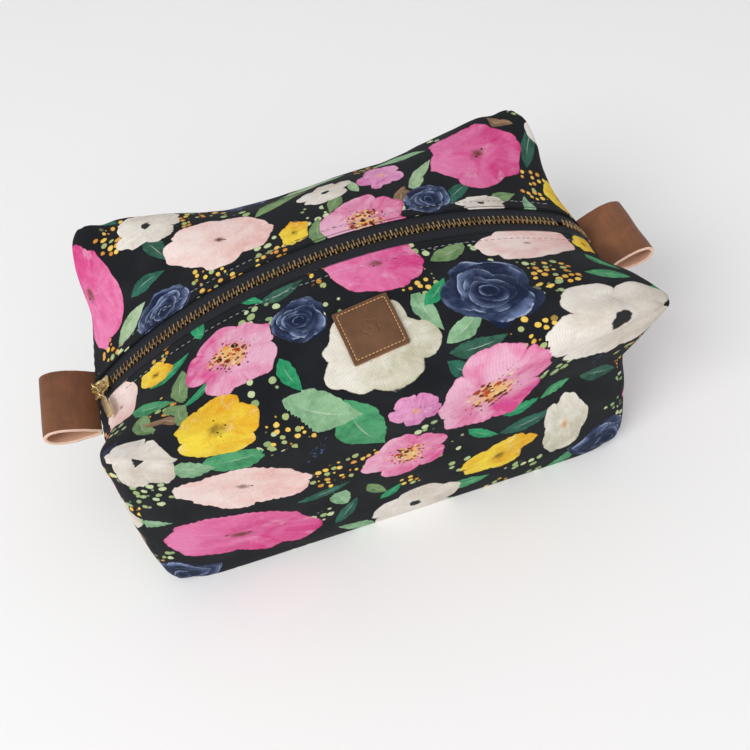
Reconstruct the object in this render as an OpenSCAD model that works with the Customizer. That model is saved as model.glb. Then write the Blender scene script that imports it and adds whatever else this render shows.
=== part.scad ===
// Boxed zip pouch: a quilted, lined fabric bag with a curved metal zip,
// a leather loop at each end and a small leather label.
// Frame: X along the zip, Y front (-) to back (+), Z up, origin under the middle of the flat base.

/* [Bag] */
// Length of the base, corner to corner
base_length = 229; // [220:1:240]
// Depth of the base, front to back
base_depth = 137; // [130:1:142]
// Height of the end seams, where the zip ends
seam_height = 77; // [74:1:80]
// Height of the top corners
corner_height = 114; // [110:1:118]
// How far the front right ear stands out past the base
ear_reach = 7; // [2:1:8]
// How far the front right corner seam is pulled in below the ear
ear_pinch = 9; // [0:1:10]
// Superellipse exponent of the soft top edges at mid length
softness = 3.6; // [3:0.1:5]

/* [Fabric] */
// Thickness of the printed canvas with its fused backing
canvas_t = 1.0; // [0.8:0.1:1.2]
// Thickness of the quilted filling
filling_t = 2.4; // [2:0.1:3]
// Thickness of the lining
lining_t = 0.5; // [0.4:0.1:0.8]

/* [Zip] */
// Radius of the long arc of the zip
zip_r = 215; // [212:1:220]
// Height of the zip's highest point
zip_top = 122; // [120:0.5:124]
// Where that highest point lies along X
zip_peak_x = 10; // [8:1:12]
// Radius of the tight shoulder at the right end
shoulder_r = 36; // [32:1:40]
// Distance between the teeth of one row
tooth_pitch = 2.54; // [2.54:0.01:2.6]
// Clear width between the two folded canvas edges
zip_gap = 17; // [15:0.5:19]
// Width of one zip tape from its bead to its hidden edge
tape_w = 13; // [11:0.5:14]

/* [Leather] */
// Width of the leather loops
tab_w = 37; // [34:1:38]
// Length of a loop past the end seam
tab_l = 26; // [25:1:30]
// Height of the gap inside a loop
tab_gap = 8; // [7.5:0.5:10]
// Thickness of the loop leather
tab_t = 1.8; // [1.5:0.1:2]
// Side of the square label
label_w = 25.4; // [24:0.2:28]
// Thickness of the label leather
label_t = 1.5; // [1.2:0.1:1.8]

/* [Hidden] */

FRONT = -1;
BACK = 1;

// The zip line: a long arc, then a tight shoulder on the right
zip_centre_z = zip_top - zip_r;
zip_left_angle = -39.9;
zip_right_angle = 28;
shoulder_end_angle = 70;
shoulder_step = zip_r - shoulder_r;
shoulder_x = zip_peak_x + shoulder_step * sin(zip_right_angle);
shoulder_z = zip_centre_z + shoulder_step * cos(zip_right_angle);
zip_left_x = zip_peak_x + zip_r * sin(zip_left_angle);
zip_right_x = shoulder_x + shoulder_r * sin(shoulder_end_angle);
zip_corner_x = 112;

// Zip pieces, in the slider's own frame: X along the zip, Z away from the bag
tape_t = 0.8;
bead_y = 1.35;
tooth_t = 1.1;
tooth_h = 2.4;
tooth_reach = 0.9;
tooth_root = 2.9;
slider_angle = -38.1;
slider_l = 12.6;
slider_w = 9;
wing_t = 1.1;
wing_z = 1.5;
flange_t = 0.7;
tape_slot = 0.7;
post_x = -4;
post_r = 1.1;
bridge_l = 9;
bridge_w = 1.5;
bridge_t = 0.9;
bridge_top = 5.9;
strap_z = bridge_top - bridge_t / 2;
ring_t = 0.9;
link_eye_r = 1.6;
link_l = 8;
link_drop = 5;
pull_yaw = 24;
bar_l = 20;
bar_w = 4.4;
bar_t = 1.1;
bar_hole_r = 0.95;
bar_drop = -7;

// Where the canvas lies over the tape
canvas_lift = 1.5;
grid_n = 24;
grid_edge = 7 / 12;
edge_n = 24;
side_n = 16;
base_n = 14;
top_corner = pow(2, -1 / edge_n);
low_corner = pow(2, -1 / base_n);
side_corner = pow(2, -1 / side_n);
gap_share = 0.5 * zip_gap * top_corner * side_corner / (base_depth / 2);

// Half lengths of the bag, as [front, back], at its base, end seam and top
left_low = [base_length / 2, base_length / 2];
left_mid = [base_length / 2 - 2, base_length / 2 - 1];
left_high = [base_length / 2 - 4, base_length / 2 - 1];
right_low = left_low;
right_mid = [base_length / 2 - ear_pinch, base_length / 2 - 2];
right_high = [base_length / 2 + ear_reach, base_length / 2 - 1];
// Half depths of the bag, as [left, right]
front_high = [base_depth / 2, base_depth / 2 + ear_reach];
back_high = [base_depth / 2 + 4, base_depth / 2 + 4];
half_depth = [base_depth / 2, base_depth / 2];
front_rise = 1;

function mix(a, b, t) = a + (b - a) * t;
function soften(u, v, n) = let(m = max(u, v, 0.001)) pow(1 + pow(min(u, v) / m, n), -1 / n);
function unit(v) = v / norm(v);
function at_level(low, mid, high, w, share) =
    mix(mix(mid[0], mid[1], share), w > 0 ? mix(high[0], high[1], share)
        : mix(low[0], low[1], share), abs(w));

// Height of the zip line over a place along X
function zip_z(x) = x < shoulder_x + shoulder_r * sin(zip_right_angle)
    ? zip_centre_z + sqrt(zip_r * zip_r - pow(x - zip_peak_x, 2))
    : shoulder_z + sqrt(max(0, shoulder_r * shoulder_r - pow(x - shoulder_x, 2)));
// The zip line as [x, z] over a place on the top or an end of the box
function zip_line(x, w) = let(
        px = w >= 1 ? x * zip_corner_x
            : x < 0 ? mix(zip_left_x, -zip_corner_x, w)
            : mix(zip_right_x, zip_corner_x, w))
    [px, zip_z(px) + canvas_lift];

// A box with soft edges and sharp corners; x, y and w run from -1 to 1 over its faces
function soft_box(x, y, w) = let(
        up = max(w, 0), down = max(-w, 0),
        ny = mix(softness, edge_n, pow(abs(x), 4)),
        nx = mix(softness, edge_n, pow(abs(y), 4)),
        sy = w > 0 ? soften(abs(y), up, ny) / top_corner : soften(abs(y), down, base_n) / low_corner,
        sx = w > 0 ? soften(abs(x), up, nx) / top_corner : soften(abs(x), down, base_n) / low_corner,
        sv = soften(abs(x), abs(y), side_n) / side_corner,
        to_back = (y + 1) / 2, to_right = (x + 1) / 2,
        reach_x = x < 0 ? at_level(left_low, left_mid, left_high, w, to_back)
            : at_level(right_low, right_mid, right_high, w, to_back),
        reach_y = y < 0 ? at_level(half_depth, half_depth, front_high, w, to_right)
            : at_level(half_depth, half_depth, back_high, w, to_right),
        rise = corner_height + mix(front_rise, -front_rise, to_back) - seam_height)
    [x * sx * sv * reach_x, y * sy * sv * reach_y,
        w > 0 ? seam_height + rise * w * sx * sy : max(0, seam_height * (1 - down * sx * sy))];

// The bag's outer surface: the soft box, drawn to the zip line along its middle
function skin(x, y, w) = let(
        p = soft_box(x, y, w),
        up = max(w, 0),
        middle = soft_box(x, 0, up),
        goal = zip_line(x, up),
        pull = pow(1 - y * y, 1.5) * (w < 0 ? max(0, (1 + w)) * pow(abs(x), 2) : 1))
    p + [goal[0] - middle[0], 0, goal[1] - middle[2]] * pull;

// One side of the box, folded out flat: u and v run from -1 to 1 over a square
function side_place(u, v, side) = let(
        m = max(abs(u), abs(v)),
        x = u / max(m, grid_edge), w = v / max(m, grid_edge),
        limit = w > -0.01 ? gap_share : 0,
        y = mix(1, limit, max(0, m - grid_edge) / (1 - grid_edge)))
    skin(x, side * y, w);
function knot(k) = -1 + 2 * max(0, min(grid_n, k)) / grid_n;
function grid_skin(side) = [for (i = [0:grid_n]) [for (j = [0:grid_n])
    side_place(knot(i), knot(j), side)]];
function cell(i) = max(0, min(grid_n, i));
function at_zip_edge(p) = abs(p[1]) < 0.6 * zip_gap && p[2] > seam_height - 2;
function from_zip_centre(p) = p[0] < shoulder_x + shoulder_r * sin(zip_right_angle)
    ? [p[0] - zip_peak_x, 0, p[2] - zip_centre_z]
    : [p[0] - shoulder_x, 0, p[2] - shoulder_z];
// The direction out of the bag at one knot; it stays level across the base seam and the zip's edge
function outward(g, i, j, side) = let(
        c = cross(g[cell(i + 1)][j] - g[cell(i - 1)][j], g[i][cell(j + 1)] - g[i][cell(j - 1)]),
        on_base_seam = abs(g[i][j][1]) < 0.001,
        way = [c[0], on_base_seam ? 0 : c[1], c[2]] * -side)
    at_zip_edge(g[i][j]) ? unit(from_zip_centre(g[i][j]))
        : norm(way) > 0.001 ? unit(way) : unit([knot(i), 0, knot(j)]);

// One layer of one side of the bag, between two depths under the outer surface
module layer(side, from, to) {
    n1 = grid_n + 1;
    g = grid_skin(side);
    flat = [for (i = [0:grid_n]) for (j = [0:grid_n]) g[i][j]];
    ways = [for (i = [0:grid_n]) for (j = [0:grid_n]) outward(g, i, j, side)];
    points = [for (d = [from, to]) for (k = [0:n1 * n1 - 1]) flat[k] - d * ways[k]];
    sheet = [for (i = [0:grid_n - 1]) for (j = [0:grid_n - 1])
        let(a = i * n1 + j, b = a + n1, even = knot(i + 0.5) * knot(j + 0.5) > 0)
        each (even ? [[a, b, b + 1], [a, b + 1, a + 1]] : [[a, b, a + 1], [b, b + 1, a + 1]])];
    rim = concat([for (i = [0:grid_n]) i * n1], [for (j = [1:grid_n]) grid_n * n1 + j],
        [for (i = [grid_n - 1:-1:0]) i * n1 + grid_n], [for (j = [grid_n - 1:-1:1]) j]);
    under = n1 * n1;
    count = len(rim);
    edges = [for (k = [0:count - 1]) let(a = rim[k], b = rim[(k + 1) % count])
        each [[b, a, a + under], [b, a + under, b + under]]];
    inner = [for (f = sheet) [f[2] + under, f[1] + under, f[0] + under]];
    all_faces = concat(sheet, inner, edges);
    turned = side == BACK ? all_faces : [for (f = all_faces) [f[2], f[1], f[0]]];
    polyhedron(points, turned);
}

module outer_front_panel() { color("#24262b") layer(FRONT, 0, canvas_t); }
module outer_back_panel() { color("#24262b") layer(BACK, 0, canvas_t); }
module interlining_front() { color("#efece4") layer(FRONT, canvas_t, canvas_t + filling_t); }
module interlining_back() { color("#efece4") layer(BACK, canvas_t, canvas_t + filling_t); }
module lining_front_panel() {
    color("#d8cfc2") layer(FRONT, canvas_t + filling_t, canvas_t + filling_t + lining_t);
}
module lining_back_panel() {
    color("#d8cfc2") layer(BACK, canvas_t + filling_t, canvas_t + filling_t + lining_t);
}

// Children stand on the zip line at an angle from its highest point
module on_zip(angle) {
    translate([zip_peak_x, 0, zip_centre_z]) rotate([0, angle, 0]) translate([0, 0, zip_r]) children();
}
// Children stand on the tight shoulder at an angle from the vertical
module on_shoulder(angle) {
    translate([shoulder_x, 0, shoulder_z]) rotate([0, angle, 0]) translate([0, 0, shoulder_r]) children();
}

// An arc of tape round an axis along Y, from one angle to another, with slim taken off each face
module tape_arc(side, radius, from, to, slim = 0) {
    rotate([90, 0, 0]) rotate([0, 0, 90 - to]) rotate_extrude(angle = to - from, $fn = 180)
        translate([radius - tape_t / 2 + slim, (side < 0 ? bead_y : -bead_y - tape_w) + slim])
            square([tape_t - 2 * slim, tape_w - 2 * slim]);
}
// The shoulder's arc starts a degree inside the long arc, a hair slimmer, so that the two join as one
module tape(side) {
    translate([zip_peak_x, 0, zip_centre_z]) tape_arc(side, zip_r, zip_left_angle, zip_right_angle);
    translate([shoulder_x, 0, shoulder_z])
        tape_arc(side, shoulder_r, zip_right_angle - 1, shoulder_end_angle, 0.02);
}
module zip_tape_front() { color("#1d1f24") tape(FRONT); }
module zip_tape_back() { color("#1d1f24") tape(BACK); }

// One tooth, clamped on the tape's bead and reaching past the middle
module tooth(side) {
    difference() {
        translate([-tooth_t / 2, side < 0 ? -tooth_root : -tooth_reach, -tooth_h / 2])
            cube([tooth_t, tooth_root + tooth_reach, tooth_h]);
        translate([-tooth_t, side < 0 ? -tooth_root - 1 : bead_y - 0.02, -tape_t / 2 - 0.01])
            cube([2 * tooth_t, tooth_root + 1.02 - bead_y, tape_t + 0.02]);
    }
}
tooth_step = tooth_pitch / zip_r * 180 / PI;
shoulder_tooth_step = tooth_pitch / shoulder_r * 180 / PI;
first_tooth_angle = slider_angle - 0.2;
arc_teeth = floor((zip_right_angle - first_tooth_angle) / tooth_step);
shoulder_teeth = 9;
module teeth(side) {
    shift = side < 0 ? 0.5 : 0;
    for (k = [0:arc_teeth - 1]) on_zip(first_tooth_angle + (k + shift) * tooth_step) tooth(side);
    for (k = [0:shoulder_teeth - 1])
        on_shoulder(zip_right_angle + (k + 0.6 + shift) * shoulder_tooth_step) tooth(side);
}
module zip_teeth_front() { color("#b08d4f") teeth(FRONT); }
module zip_teeth_back() { color("#b08d4f") teeth(BACK); }

// Thread laid on the canvas beside the zip
stitch_l = 1.9;
stitch_pitch = 3;
stitch_share = 0.185;
module topstitch(side) {
    last = floor(zip_corner_x * 0.97 / stitch_pitch);
    for (k = [-last:last]) {
        x = k * stitch_pitch / zip_corner_x;
        p = skin(x, side * stitch_share, 1);
        slope = asin((p[0] - zip_peak_x) / zip_r);
        translate(p + [0, 0, 0.6]) rotate([0, slope, 0]) cube([stitch_l, 0.4, 0.4], center = true);
    }
}
module topstitch_front() { color("#9a9ba1") topstitch(FRONT); }
module topstitch_back() { color("#9a9ba1") topstitch(BACK); }

// Slider: two wings joined by a post at the nose, with flanges beside the chain
module wing(z) {
    translate([0, 0, z]) intersection() {
        translate([-slider_l / 2, -slider_w / 2, 0]) cube([slider_l, slider_w, wing_t]);
        translate([-1.2, 0, -1]) cylinder(r = slider_l / 2 + 1.4, h = wing_t + 2, $fn = 64);
    }
}
module flange(y_side, z) {
    translate([-slider_l / 2 + 1, y_side < 0 ? -slider_w / 2 : slider_w / 2 - flange_t, z])
        cube([slider_l - 1.6, flange_t, wing_z - tape_slot + 0.1]);
}
module slider_solid() {
    wing(wing_z);
    wing(-wing_z - wing_t);
    for (y_side = [-1, 1]) {
        flange(y_side, tape_slot);
        flange(y_side, -wing_z - 0.1);
    }
    translate([post_x, 0, -wing_z - 0.1]) cylinder(r = post_r, h = 2 * wing_z + 0.2, $fn = 48);
}
module slider_body() { color("#c4a35a") on_zip(slider_angle) slider_solid(); }

// Strap over the slider that holds the pull
module bridge_solid() {
    base_z = wing_z + wing_t;
    difference() {
        translate([-bridge_l / 2, -bridge_w / 2, base_z]) cube([bridge_l, bridge_w, bridge_top - base_z]);
        translate([-bridge_l / 2 + 1.2, -bridge_w, base_z - 1])
            cube([bridge_l - 2.4, 2 * bridge_w, bridge_top - bridge_t - base_z + 1]);
    }
}
module slider_bridge() { color("#c4a35a") on_zip(slider_angle) bridge_solid(); }

// A flat ring whose axis lies along X
module ring(radius) {
    rotate([0, 90, 0]) difference() {
        cylinder(r = radius + ring_t / 2, h = ring_t, center = true, $fn = 64);
        cylinder(r = radius - ring_t / 2, h = 2 * ring_t, center = true, $fn = 64);
    }
}
// Children stand at the middle of the slider's strap, turned the way the pull lies
module on_strap() {
    on_zip(slider_angle) translate([0, 0, strap_z]) rotate([0, 0, pull_yaw]) children();
}
// Pull link: one ring round the strap, a stem, and one ring for the bar, reaching towards -Y
module link_solid() {
    ring(link_eye_r);
    translate([0, -link_l, 0]) ring(link_eye_r);
    translate([0, -link_eye_r, 0]) rotate([90, 0, 0])
        cylinder(r = 0.7, h = link_l - 2 * link_eye_r, $fn = 32);
}
module pull_link() { color("#c4a35a") on_strap() rotate([link_drop, 0, 0]) link_solid(); }

// Flat bar that hangs in the link's outer ring
module bar_solid() {
    translate([0, -link_eye_r, 0]) difference() {
        union() {
            translate([-bar_w / 2, -bar_l + 2.2, -bar_t / 2]) cube([bar_w, bar_l - 2.2, bar_t]);
            translate([0, -bar_l + 2.2, -bar_t / 2]) cylinder(r = bar_w / 2, h = bar_t, $fn = 48);
            translate([0, 0, -bar_t / 2]) cylinder(r = bar_hole_r + 0.7, h = bar_t, $fn = 48);
        }
        translate([0, 0, -bar_t]) cylinder(r = bar_hole_r, h = 2 * bar_t, $fn = 48);
        for (x = [-1, 1]) translate([x * (bar_w / 2 + 0.45) - 1, -1.4, -bar_t]) cube([2, 4, 2 * bar_t]);
    }
}
module pull_bar() {
    color("#c4a35a") on_strap() rotate([link_drop, 0, 0]) translate([0, -link_l, 0])
        rotate([bar_drop - link_drop, 0, 0]) bar_solid();
}

// Leather loop: a teardrop strip whose two ends are caught in the end seam
tab_steps = 28;
function drop_x(t) = (tab_l - tab_t) * (1 - cos(t)) / 2;
function drop_z(t) = 0.65 * tab_gap * sin(t) * pow(sin(t / 2), 1.2);
function drop_point(t) = [drop_x(t), drop_z(t)];
function drop_normal(t) = let(d = drop_point(min(359, t + 1)) - drop_point(max(1, t - 1))) unit([-d[1], d[0]]);
module loop_profile() {
    turns = [for (k = [0:tab_steps]) 8 + k * (360 - 16) / tab_steps];
    difference() {
        polygon(concat([[-4, tab_t]], [for (t = turns) drop_point(t) + tab_t * drop_normal(t)],
            [[-4, -tab_t]]));
        polygon([for (t = turns) drop_point(t)]);
    }
}
module tab(tilt) {
    rotate([90, 0, 0]) linear_extrude(tab_w, center = true) rotate(tilt) loop_profile();
}
tab_tilt_left = 16;
tab_tilt_right = 12;
tab_drop = 3.8;
tab_root_left = [zip_left_x - 1.2, 0, zip_z(zip_left_x) - tab_drop];
tab_root_right = [zip_right_x + 1.2, 0, zip_z(zip_right_x) - tab_drop];
module tab_left() { color("#7a4a2e") translate(tab_root_left) mirror([1, 0, 0]) tab(tab_tilt_left); }
module tab_right() { color("#7a4a2e") translate(tab_root_right) tab(tab_tilt_right); }

// Label on the front slope of the top
label_place = [0.015, -0.62];
label_turn = 6;
label_tilt = let(a = skin(label_place[0], label_place[1] + 0.12, 1), b = skin(label_place[0], label_place[1] - 0.12, 1))
    atan2(a[2] - b[2], a[1] - b[1]);
module on_label() {
    translate(skin(label_place[0], label_place[1], 1)) rotate([label_tilt, 0, 0]) rotate([0, 0, label_turn])
        translate([0, 0, 0.4]) children();
}
module label_patch() {
    color("#6b472e") on_label() translate([-label_w / 2, -label_w / 2, 0]) cube([label_w, label_w, label_t]);
}
label_stitches = 13;
module label_stitching() {
    inset = label_w / 2 - 1.7;
    step = 2 * inset / label_stitches;
    color("#c9a06f") on_label() for (turn = [0:90:270]) rotate([0, 0, turn])
        for (k = [0:label_stitches - 1]) translate([-inset + (k + 0.5) * step, inset, label_t])
            translate([-0.36 * step, -0.25, 0]) cube([0.72 * step, 0.5, 0.35]);
}

outer_front_panel();
outer_back_panel();
interlining_front();
interlining_back();
lining_front_panel();
lining_back_panel();
zip_tape_front();
zip_tape_back();
zip_teeth_front();
zip_teeth_back();
topstitch_front();
topstitch_back();
slider_body();
slider_bridge();
pull_link();
pull_bar();
tab_left();
tab_right();
label_patch();
label_stitching();
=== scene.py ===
"""A boxed zip pouch of quilted floral canvas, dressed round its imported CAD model. Lengths are in mm until
a mesh is made; Blender's unit is the metre."""
import math
import random

import bmesh
import bpy
import numpy as np
from mathutils import Matrix, Vector, noise


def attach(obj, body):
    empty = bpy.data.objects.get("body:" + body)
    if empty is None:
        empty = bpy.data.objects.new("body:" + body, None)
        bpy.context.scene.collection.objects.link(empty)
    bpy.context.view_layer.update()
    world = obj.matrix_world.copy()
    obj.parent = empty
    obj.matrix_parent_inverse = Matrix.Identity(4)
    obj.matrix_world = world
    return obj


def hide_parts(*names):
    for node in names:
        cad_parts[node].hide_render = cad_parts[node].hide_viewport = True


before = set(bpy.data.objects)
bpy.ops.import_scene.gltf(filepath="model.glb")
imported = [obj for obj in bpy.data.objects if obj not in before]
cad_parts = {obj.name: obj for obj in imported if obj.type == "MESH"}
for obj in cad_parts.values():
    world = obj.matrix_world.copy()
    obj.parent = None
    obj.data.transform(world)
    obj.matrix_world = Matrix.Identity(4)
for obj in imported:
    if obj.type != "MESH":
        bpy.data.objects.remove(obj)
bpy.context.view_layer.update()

MM = 0.001
FRONT, BACK = -1, 1
# edges of metal parts sharper than this many degrees stay sharp
CREASE = 38

# The bag's driving sizes, as in its design
BASE_LENGTH, BASE_DEPTH = 229.0, 137.0
SEAM_HEIGHT, CORNER_HEIGHT = 77.0, 114.0
EAR_REACH, EAR_PINCH = 7.0, 9.0
SOFTNESS, EDGE_N, SIDE_N, BASE_N = 3.6, 24.0, 16.0, 14.0
ZIP_R, ZIP_TOP, ZIP_PEAK_X = 215.0, 122.0, 10.0
SHOULDER_R = 36.0
ZIP_LEFT, ZIP_RIGHT, SHOULDER_END = (math.radians(a) for a in (-39.9, 28.0, 70.0))
ZIP_CORNER_X = 112.0
ZIP_GAP = 17.0
CANVAS_LIFT = 1.5
ZIP_CENTRE_Z = ZIP_TOP - ZIP_R
SHOULDER_X = ZIP_PEAK_X + (ZIP_R - SHOULDER_R) * math.sin(ZIP_RIGHT)
SHOULDER_Z = ZIP_CENTRE_Z + (ZIP_R - SHOULDER_R) * math.cos(ZIP_RIGHT)
ZIP_LEFT_X = ZIP_PEAK_X + ZIP_R * math.sin(ZIP_LEFT)
ZIP_RIGHT_X = SHOULDER_X + SHOULDER_R * math.sin(SHOULDER_END)
HALF_LENGTH, HALF_DEPTH = BASE_LENGTH / 2, BASE_DEPTH / 2
TOP_CORNER, LOW_CORNER, SIDE_CORNER = (2 ** (-1 / n) for n in (EDGE_N, BASE_N, SIDE_N))
GAP_SHARE = 0.5 * ZIP_GAP * TOP_CORNER * SIDE_CORNER / HALF_DEPTH
STITCH_SHARE = 0.185
STITCH_PITCH, STITCH_L = 3.0, 1.9
MID_HEIGHT = 50.0


# ---------------------------------------------------------------- the bag's surface

def mix(a, b, t):
    return a + (b - a) * t


def ease(x, low, high):
    """0 below low, 1 above high, smooth between."""
    t = np.clip((x - low) / (high - low), 0, 1)
    return t * t * (3 - 2 * t)


def soften(u, v, n):
    m = np.maximum(np.maximum(u, v), 1e-3)
    return (1 + (np.minimum(u, v) / m) ** n) ** (-1 / n)


def at_level(low, mid, high, w, share):
    far = np.where(w > 0, mix(high[0], high[1], share), mix(low[0], low[1], share))
    return mix(mix(mid[0], mid[1], share), far, np.abs(w))


def zip_z(x):
    """Height of the zip line over a place along X."""
    arc = ZIP_CENTRE_Z + np.sqrt(np.maximum(0, ZIP_R ** 2 - (x - ZIP_PEAK_X) ** 2))
    shoulder = SHOULDER_Z + np.sqrt(np.maximum(0, SHOULDER_R ** 2 - (x - SHOULDER_X) ** 2))
    return np.where(x < SHOULDER_X + SHOULDER_R * math.sin(ZIP_RIGHT), arc, shoulder)


def zip_line(x, w):
    side_x = np.where(x < 0, mix(ZIP_LEFT_X, -ZIP_CORNER_X, w), mix(ZIP_RIGHT_X, ZIP_CORNER_X, w))
    px = np.where(w >= 1, x * ZIP_CORNER_X, side_x)
    return px, zip_z(px) + CANVAS_LIFT


def soft_box(x, y, w):
    """A box with soft edges and sharp corners; x, y and w run from -1 to 1 over its faces."""
    h, d = HALF_LENGTH, HALF_DEPTH
    up, down = np.maximum(w, 0), np.maximum(-w, 0)
    ny = mix(SOFTNESS, EDGE_N, np.abs(x) ** 4)
    nx = mix(SOFTNESS, EDGE_N, np.abs(y) ** 4)
    low_corner = mix(TOP_CORNER, LOW_CORNER, ease(down, 0, 0.45))
    sy = np.where(w > 0, soften(np.abs(y), up, ny) / TOP_CORNER, soften(np.abs(y), down, BASE_N) / low_corner)
    sx = np.where(w > 0, soften(np.abs(x), up, nx) / TOP_CORNER, soften(np.abs(x), down, BASE_N) / low_corner)
    sv = soften(np.abs(x), np.abs(y), SIDE_N) / SIDE_CORNER
    to_back, to_right = (y + 1) / 2, (x + 1) / 2
    left = at_level((h, h), (h - 2, h - 1), (h - 4, h - 1), w, to_back)
    right = at_level((h, h), (h - EAR_PINCH, h - 2), (h + EAR_REACH, h - 1), w, to_back)
    front = at_level((d, d), (d, d), (d, d + EAR_REACH), w, to_right)
    back = at_level((d, d), (d, d), (d + 4, d + 4), w, to_right)
    rise = CORNER_HEIGHT + mix(1, -1, to_back) - SEAM_HEIGHT
    z = np.where(w > 0, SEAM_HEIGHT + rise * w * sx * sy, np.maximum(0, SEAM_HEIGHT * (1 - down * sx * sy)))
    return x * sx * sv * np.where(x < 0, left, right), y * sy * sv * np.where(y < 0, front, back), z


def skin(x, y, w):
    """The bag's outer surface: the soft box, drawn to the zip line along its middle."""
    x, y, w = np.broadcast_arrays(*(np.asarray(a, float) for a in (x, y, w)))
    px, py, pz = soft_box(x, y, w)
    up = np.maximum(w, 0)
    middle_x, _, middle_z = soft_box(x, 0 * y, up)
    goal_x, goal_z = zip_line(x, up)
    pull = (1 - y * y) ** 1.5 * np.where(w < 0, np.maximum(0, 1 + w) * x ** 2, 1)
    return np.stack([px + (goal_x - middle_x) * pull, py, pz + (goal_z - middle_z) * pull], -1)


# ---------------------------------------------------------------- sewing patches

def grid_quads(index):
    """The quads of a grid, from the number of each of its points."""
    return np.stack([index[:-1, :-1], index[1:, :-1], index[1:, 1:], index[:-1, 1:]], -1).reshape(-1, 4)


class Patch:
    """A grid of points on the skin: at = (x, y, w) of each, cloth = its place in mm on the flat fabric."""

    def __init__(self, x, y, w, side):
        self.at = np.stack(np.broadcast_arrays(x, y, w), -1).astype(float)
        self.points = skin(self.at[..., 0], side * self.at[..., 1], self.at[..., 2])
        self.cloth = None


def run(points, axis):
    """Length along a grid axis, from 0."""
    step = np.linalg.norm(np.diff(points, axis=axis), axis=-1)
    start = np.zeros_like(np.take(step, [0], axis=axis))
    return np.concatenate([start, np.cumsum(step, axis=axis)], axis)


def divide(start, end, length, step):
    return np.linspace(start, end, max(2, round(length / step)) + 1)


def make_patches(side, step):
    """The five patches that cover one side of the bag: the long strip from the zip over the front and
    under the base, and the upper and lower halves of each end."""
    xs = divide(-1, 1, BASE_LENGTH, step)
    top = divide(GAP_SHARE, 1, HALF_DEPTH - ZIP_GAP / 2, step)
    high = divide(1, 0, CORNER_HEIGHT - SEAM_HEIGHT, step)
    low = divide(0, -1, SEAM_HEIGHT, step)
    inner = divide(0, GAP_SHARE, ZIP_GAP / 2, step)[:-1]
    across = np.concatenate([inner, top])
    ys = np.concatenate([top, np.ones(len(high) - 1), np.ones(len(low) - 1), across[::-1][1:]])
    ws = np.concatenate([np.ones(len(top)), high[1:], low[1:], -np.ones(len(across) - 1)])
    strip = Patch(xs[:, None], ys[None, :], ws[None, :], side)
    v = run(strip.points, 1) + ZIP_GAP / 2
    strip.cloth = np.stack([strip.at[..., 0] * HALF_LENGTH, v], -1)
    patches = [strip]
    for end in (-1, 1):
        upper = Patch(end, top[None, :], high[:, None], side)
        u = end * (HALF_LENGTH + run(upper.points, 0))
        upper.cloth = np.stack([u, run(upper.points, 1) + ZIP_GAP / 2], -1)
        lower = Patch(end, across[None, :], low[:, None], side)
        along = run(lower.points[:, ::-1], 1)[:, ::-1]
        fall = v[0 if end < 0 else -1, len(top) + len(high) - 2:len(top) + len(high) + len(low) - 2]
        lower.cloth = np.stack([end * (HALF_LENGTH + along), np.broadcast_to(fall[:, None], along.shape)], -1)
        patches += [upper, lower]
    return patches


class Shell:
    """Patches merged into one mesh: points, quads, each corner's cloth place, and each point's (x, y, w)."""

    def __init__(self, patches, side):
        ats, clouds, quads, cloth = [], [], [], []
        base = 0
        self.grids = []
        for p in patches:
            n, m = p.points.shape[:2]
            clouds.append(p.points.reshape(-1, 3))
            ats.append(p.at.reshape(-1, 3))
            index = np.arange(n * m).reshape(n, m)
            q = grid_quads(index)
            quads.append(q + base)
            cloth.append(p.cloth.reshape(-1, 2)[q])
            self.grids.append(index + base)
            base += n * m
        cloud = np.concatenate(clouds)
        _, first, back = np.unique(np.round(cloud, 3), axis=0, return_index=True, return_inverse=True)
        back = back.reshape(-1)
        self.points = cloud[first]
        self.at = np.concatenate(ats)[first]
        self.quads = back[np.concatenate(quads)]
        self.cloth = np.concatenate(cloth)
        self.grids = [back[g] for g in self.grids]
        self.side = side
        self.face_out()

    def crosses(self):
        """Each quad's normal, as long as twice its area."""
        p = self.points[self.quads]
        return np.cross(p[:, 2] - p[:, 0], p[:, 3] - p[:, 1])

    def face_out(self):
        """Turns each quad so that it looks out of the bag."""
        middle = self.points[self.quads].mean(1) - (0, 0, MID_HEIGHT)
        inward = (middle * self.crosses()).sum(1) < 0
        self.quads[inward] = self.quads[inward][:, ::-1]
        self.cloth[inward] = self.cloth[inward][:, ::-1]

    def normals(self):
        n = self.crosses()
        total = np.zeros_like(self.points)
        for k in range(4):
            np.add.at(total, self.quads[:, k], n)
        return total / np.maximum(np.linalg.norm(total, axis=1, keepdims=True), 1e-9)

    def zip_edge(self):
        """The points along the slot, from the left end seam over the top to the right end seam."""
        strip, left, _, right, _ = self.grids
        return np.concatenate([left[::-1, 0], strip[1:-1, 0], right[:, 0]])


def ripple(points, size, seed):
    """Smooth noise from -1 to 1 at each point, with bumps about size mm across."""
    shift = Vector((seed, 0.37 * seed, -0.61 * seed))
    return np.array([noise.noise(Vector(p) / size + shift) for p in points])


def sag(shell):
    """Lets the filled bag swell and dip a little between its seams."""
    at, p = shell.at, shell.points
    x, y, w = np.abs(at[:, 0]), np.abs(at[:, 1]), at[:, 2]
    free = ease(y, GAP_SHARE, 0.45) * ease(p[:, 2], 0.5, 14)
    swell = 1.5 * ripple(p, 52, 3.1) + 0.9 * ripple(p, 26, 8.4) + 0.35 * ripple(p, 11, 1.9)
    dip = 2.2 * np.exp(-((p[:, 0] + 32) / 46) ** 2) * (w > 0.5) * ease(y, 0.6, 0.98) * (shell.side == BACK)
    ear = 1.4 * np.exp(-((x - 0.86) / 0.05) ** 2) * ease(y, 0.5, 0.9) * ease(w, 0.4, 0.9)
    shell.points = p + shell.normals() * (free * swell - dip - ear)[:, None]


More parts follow.
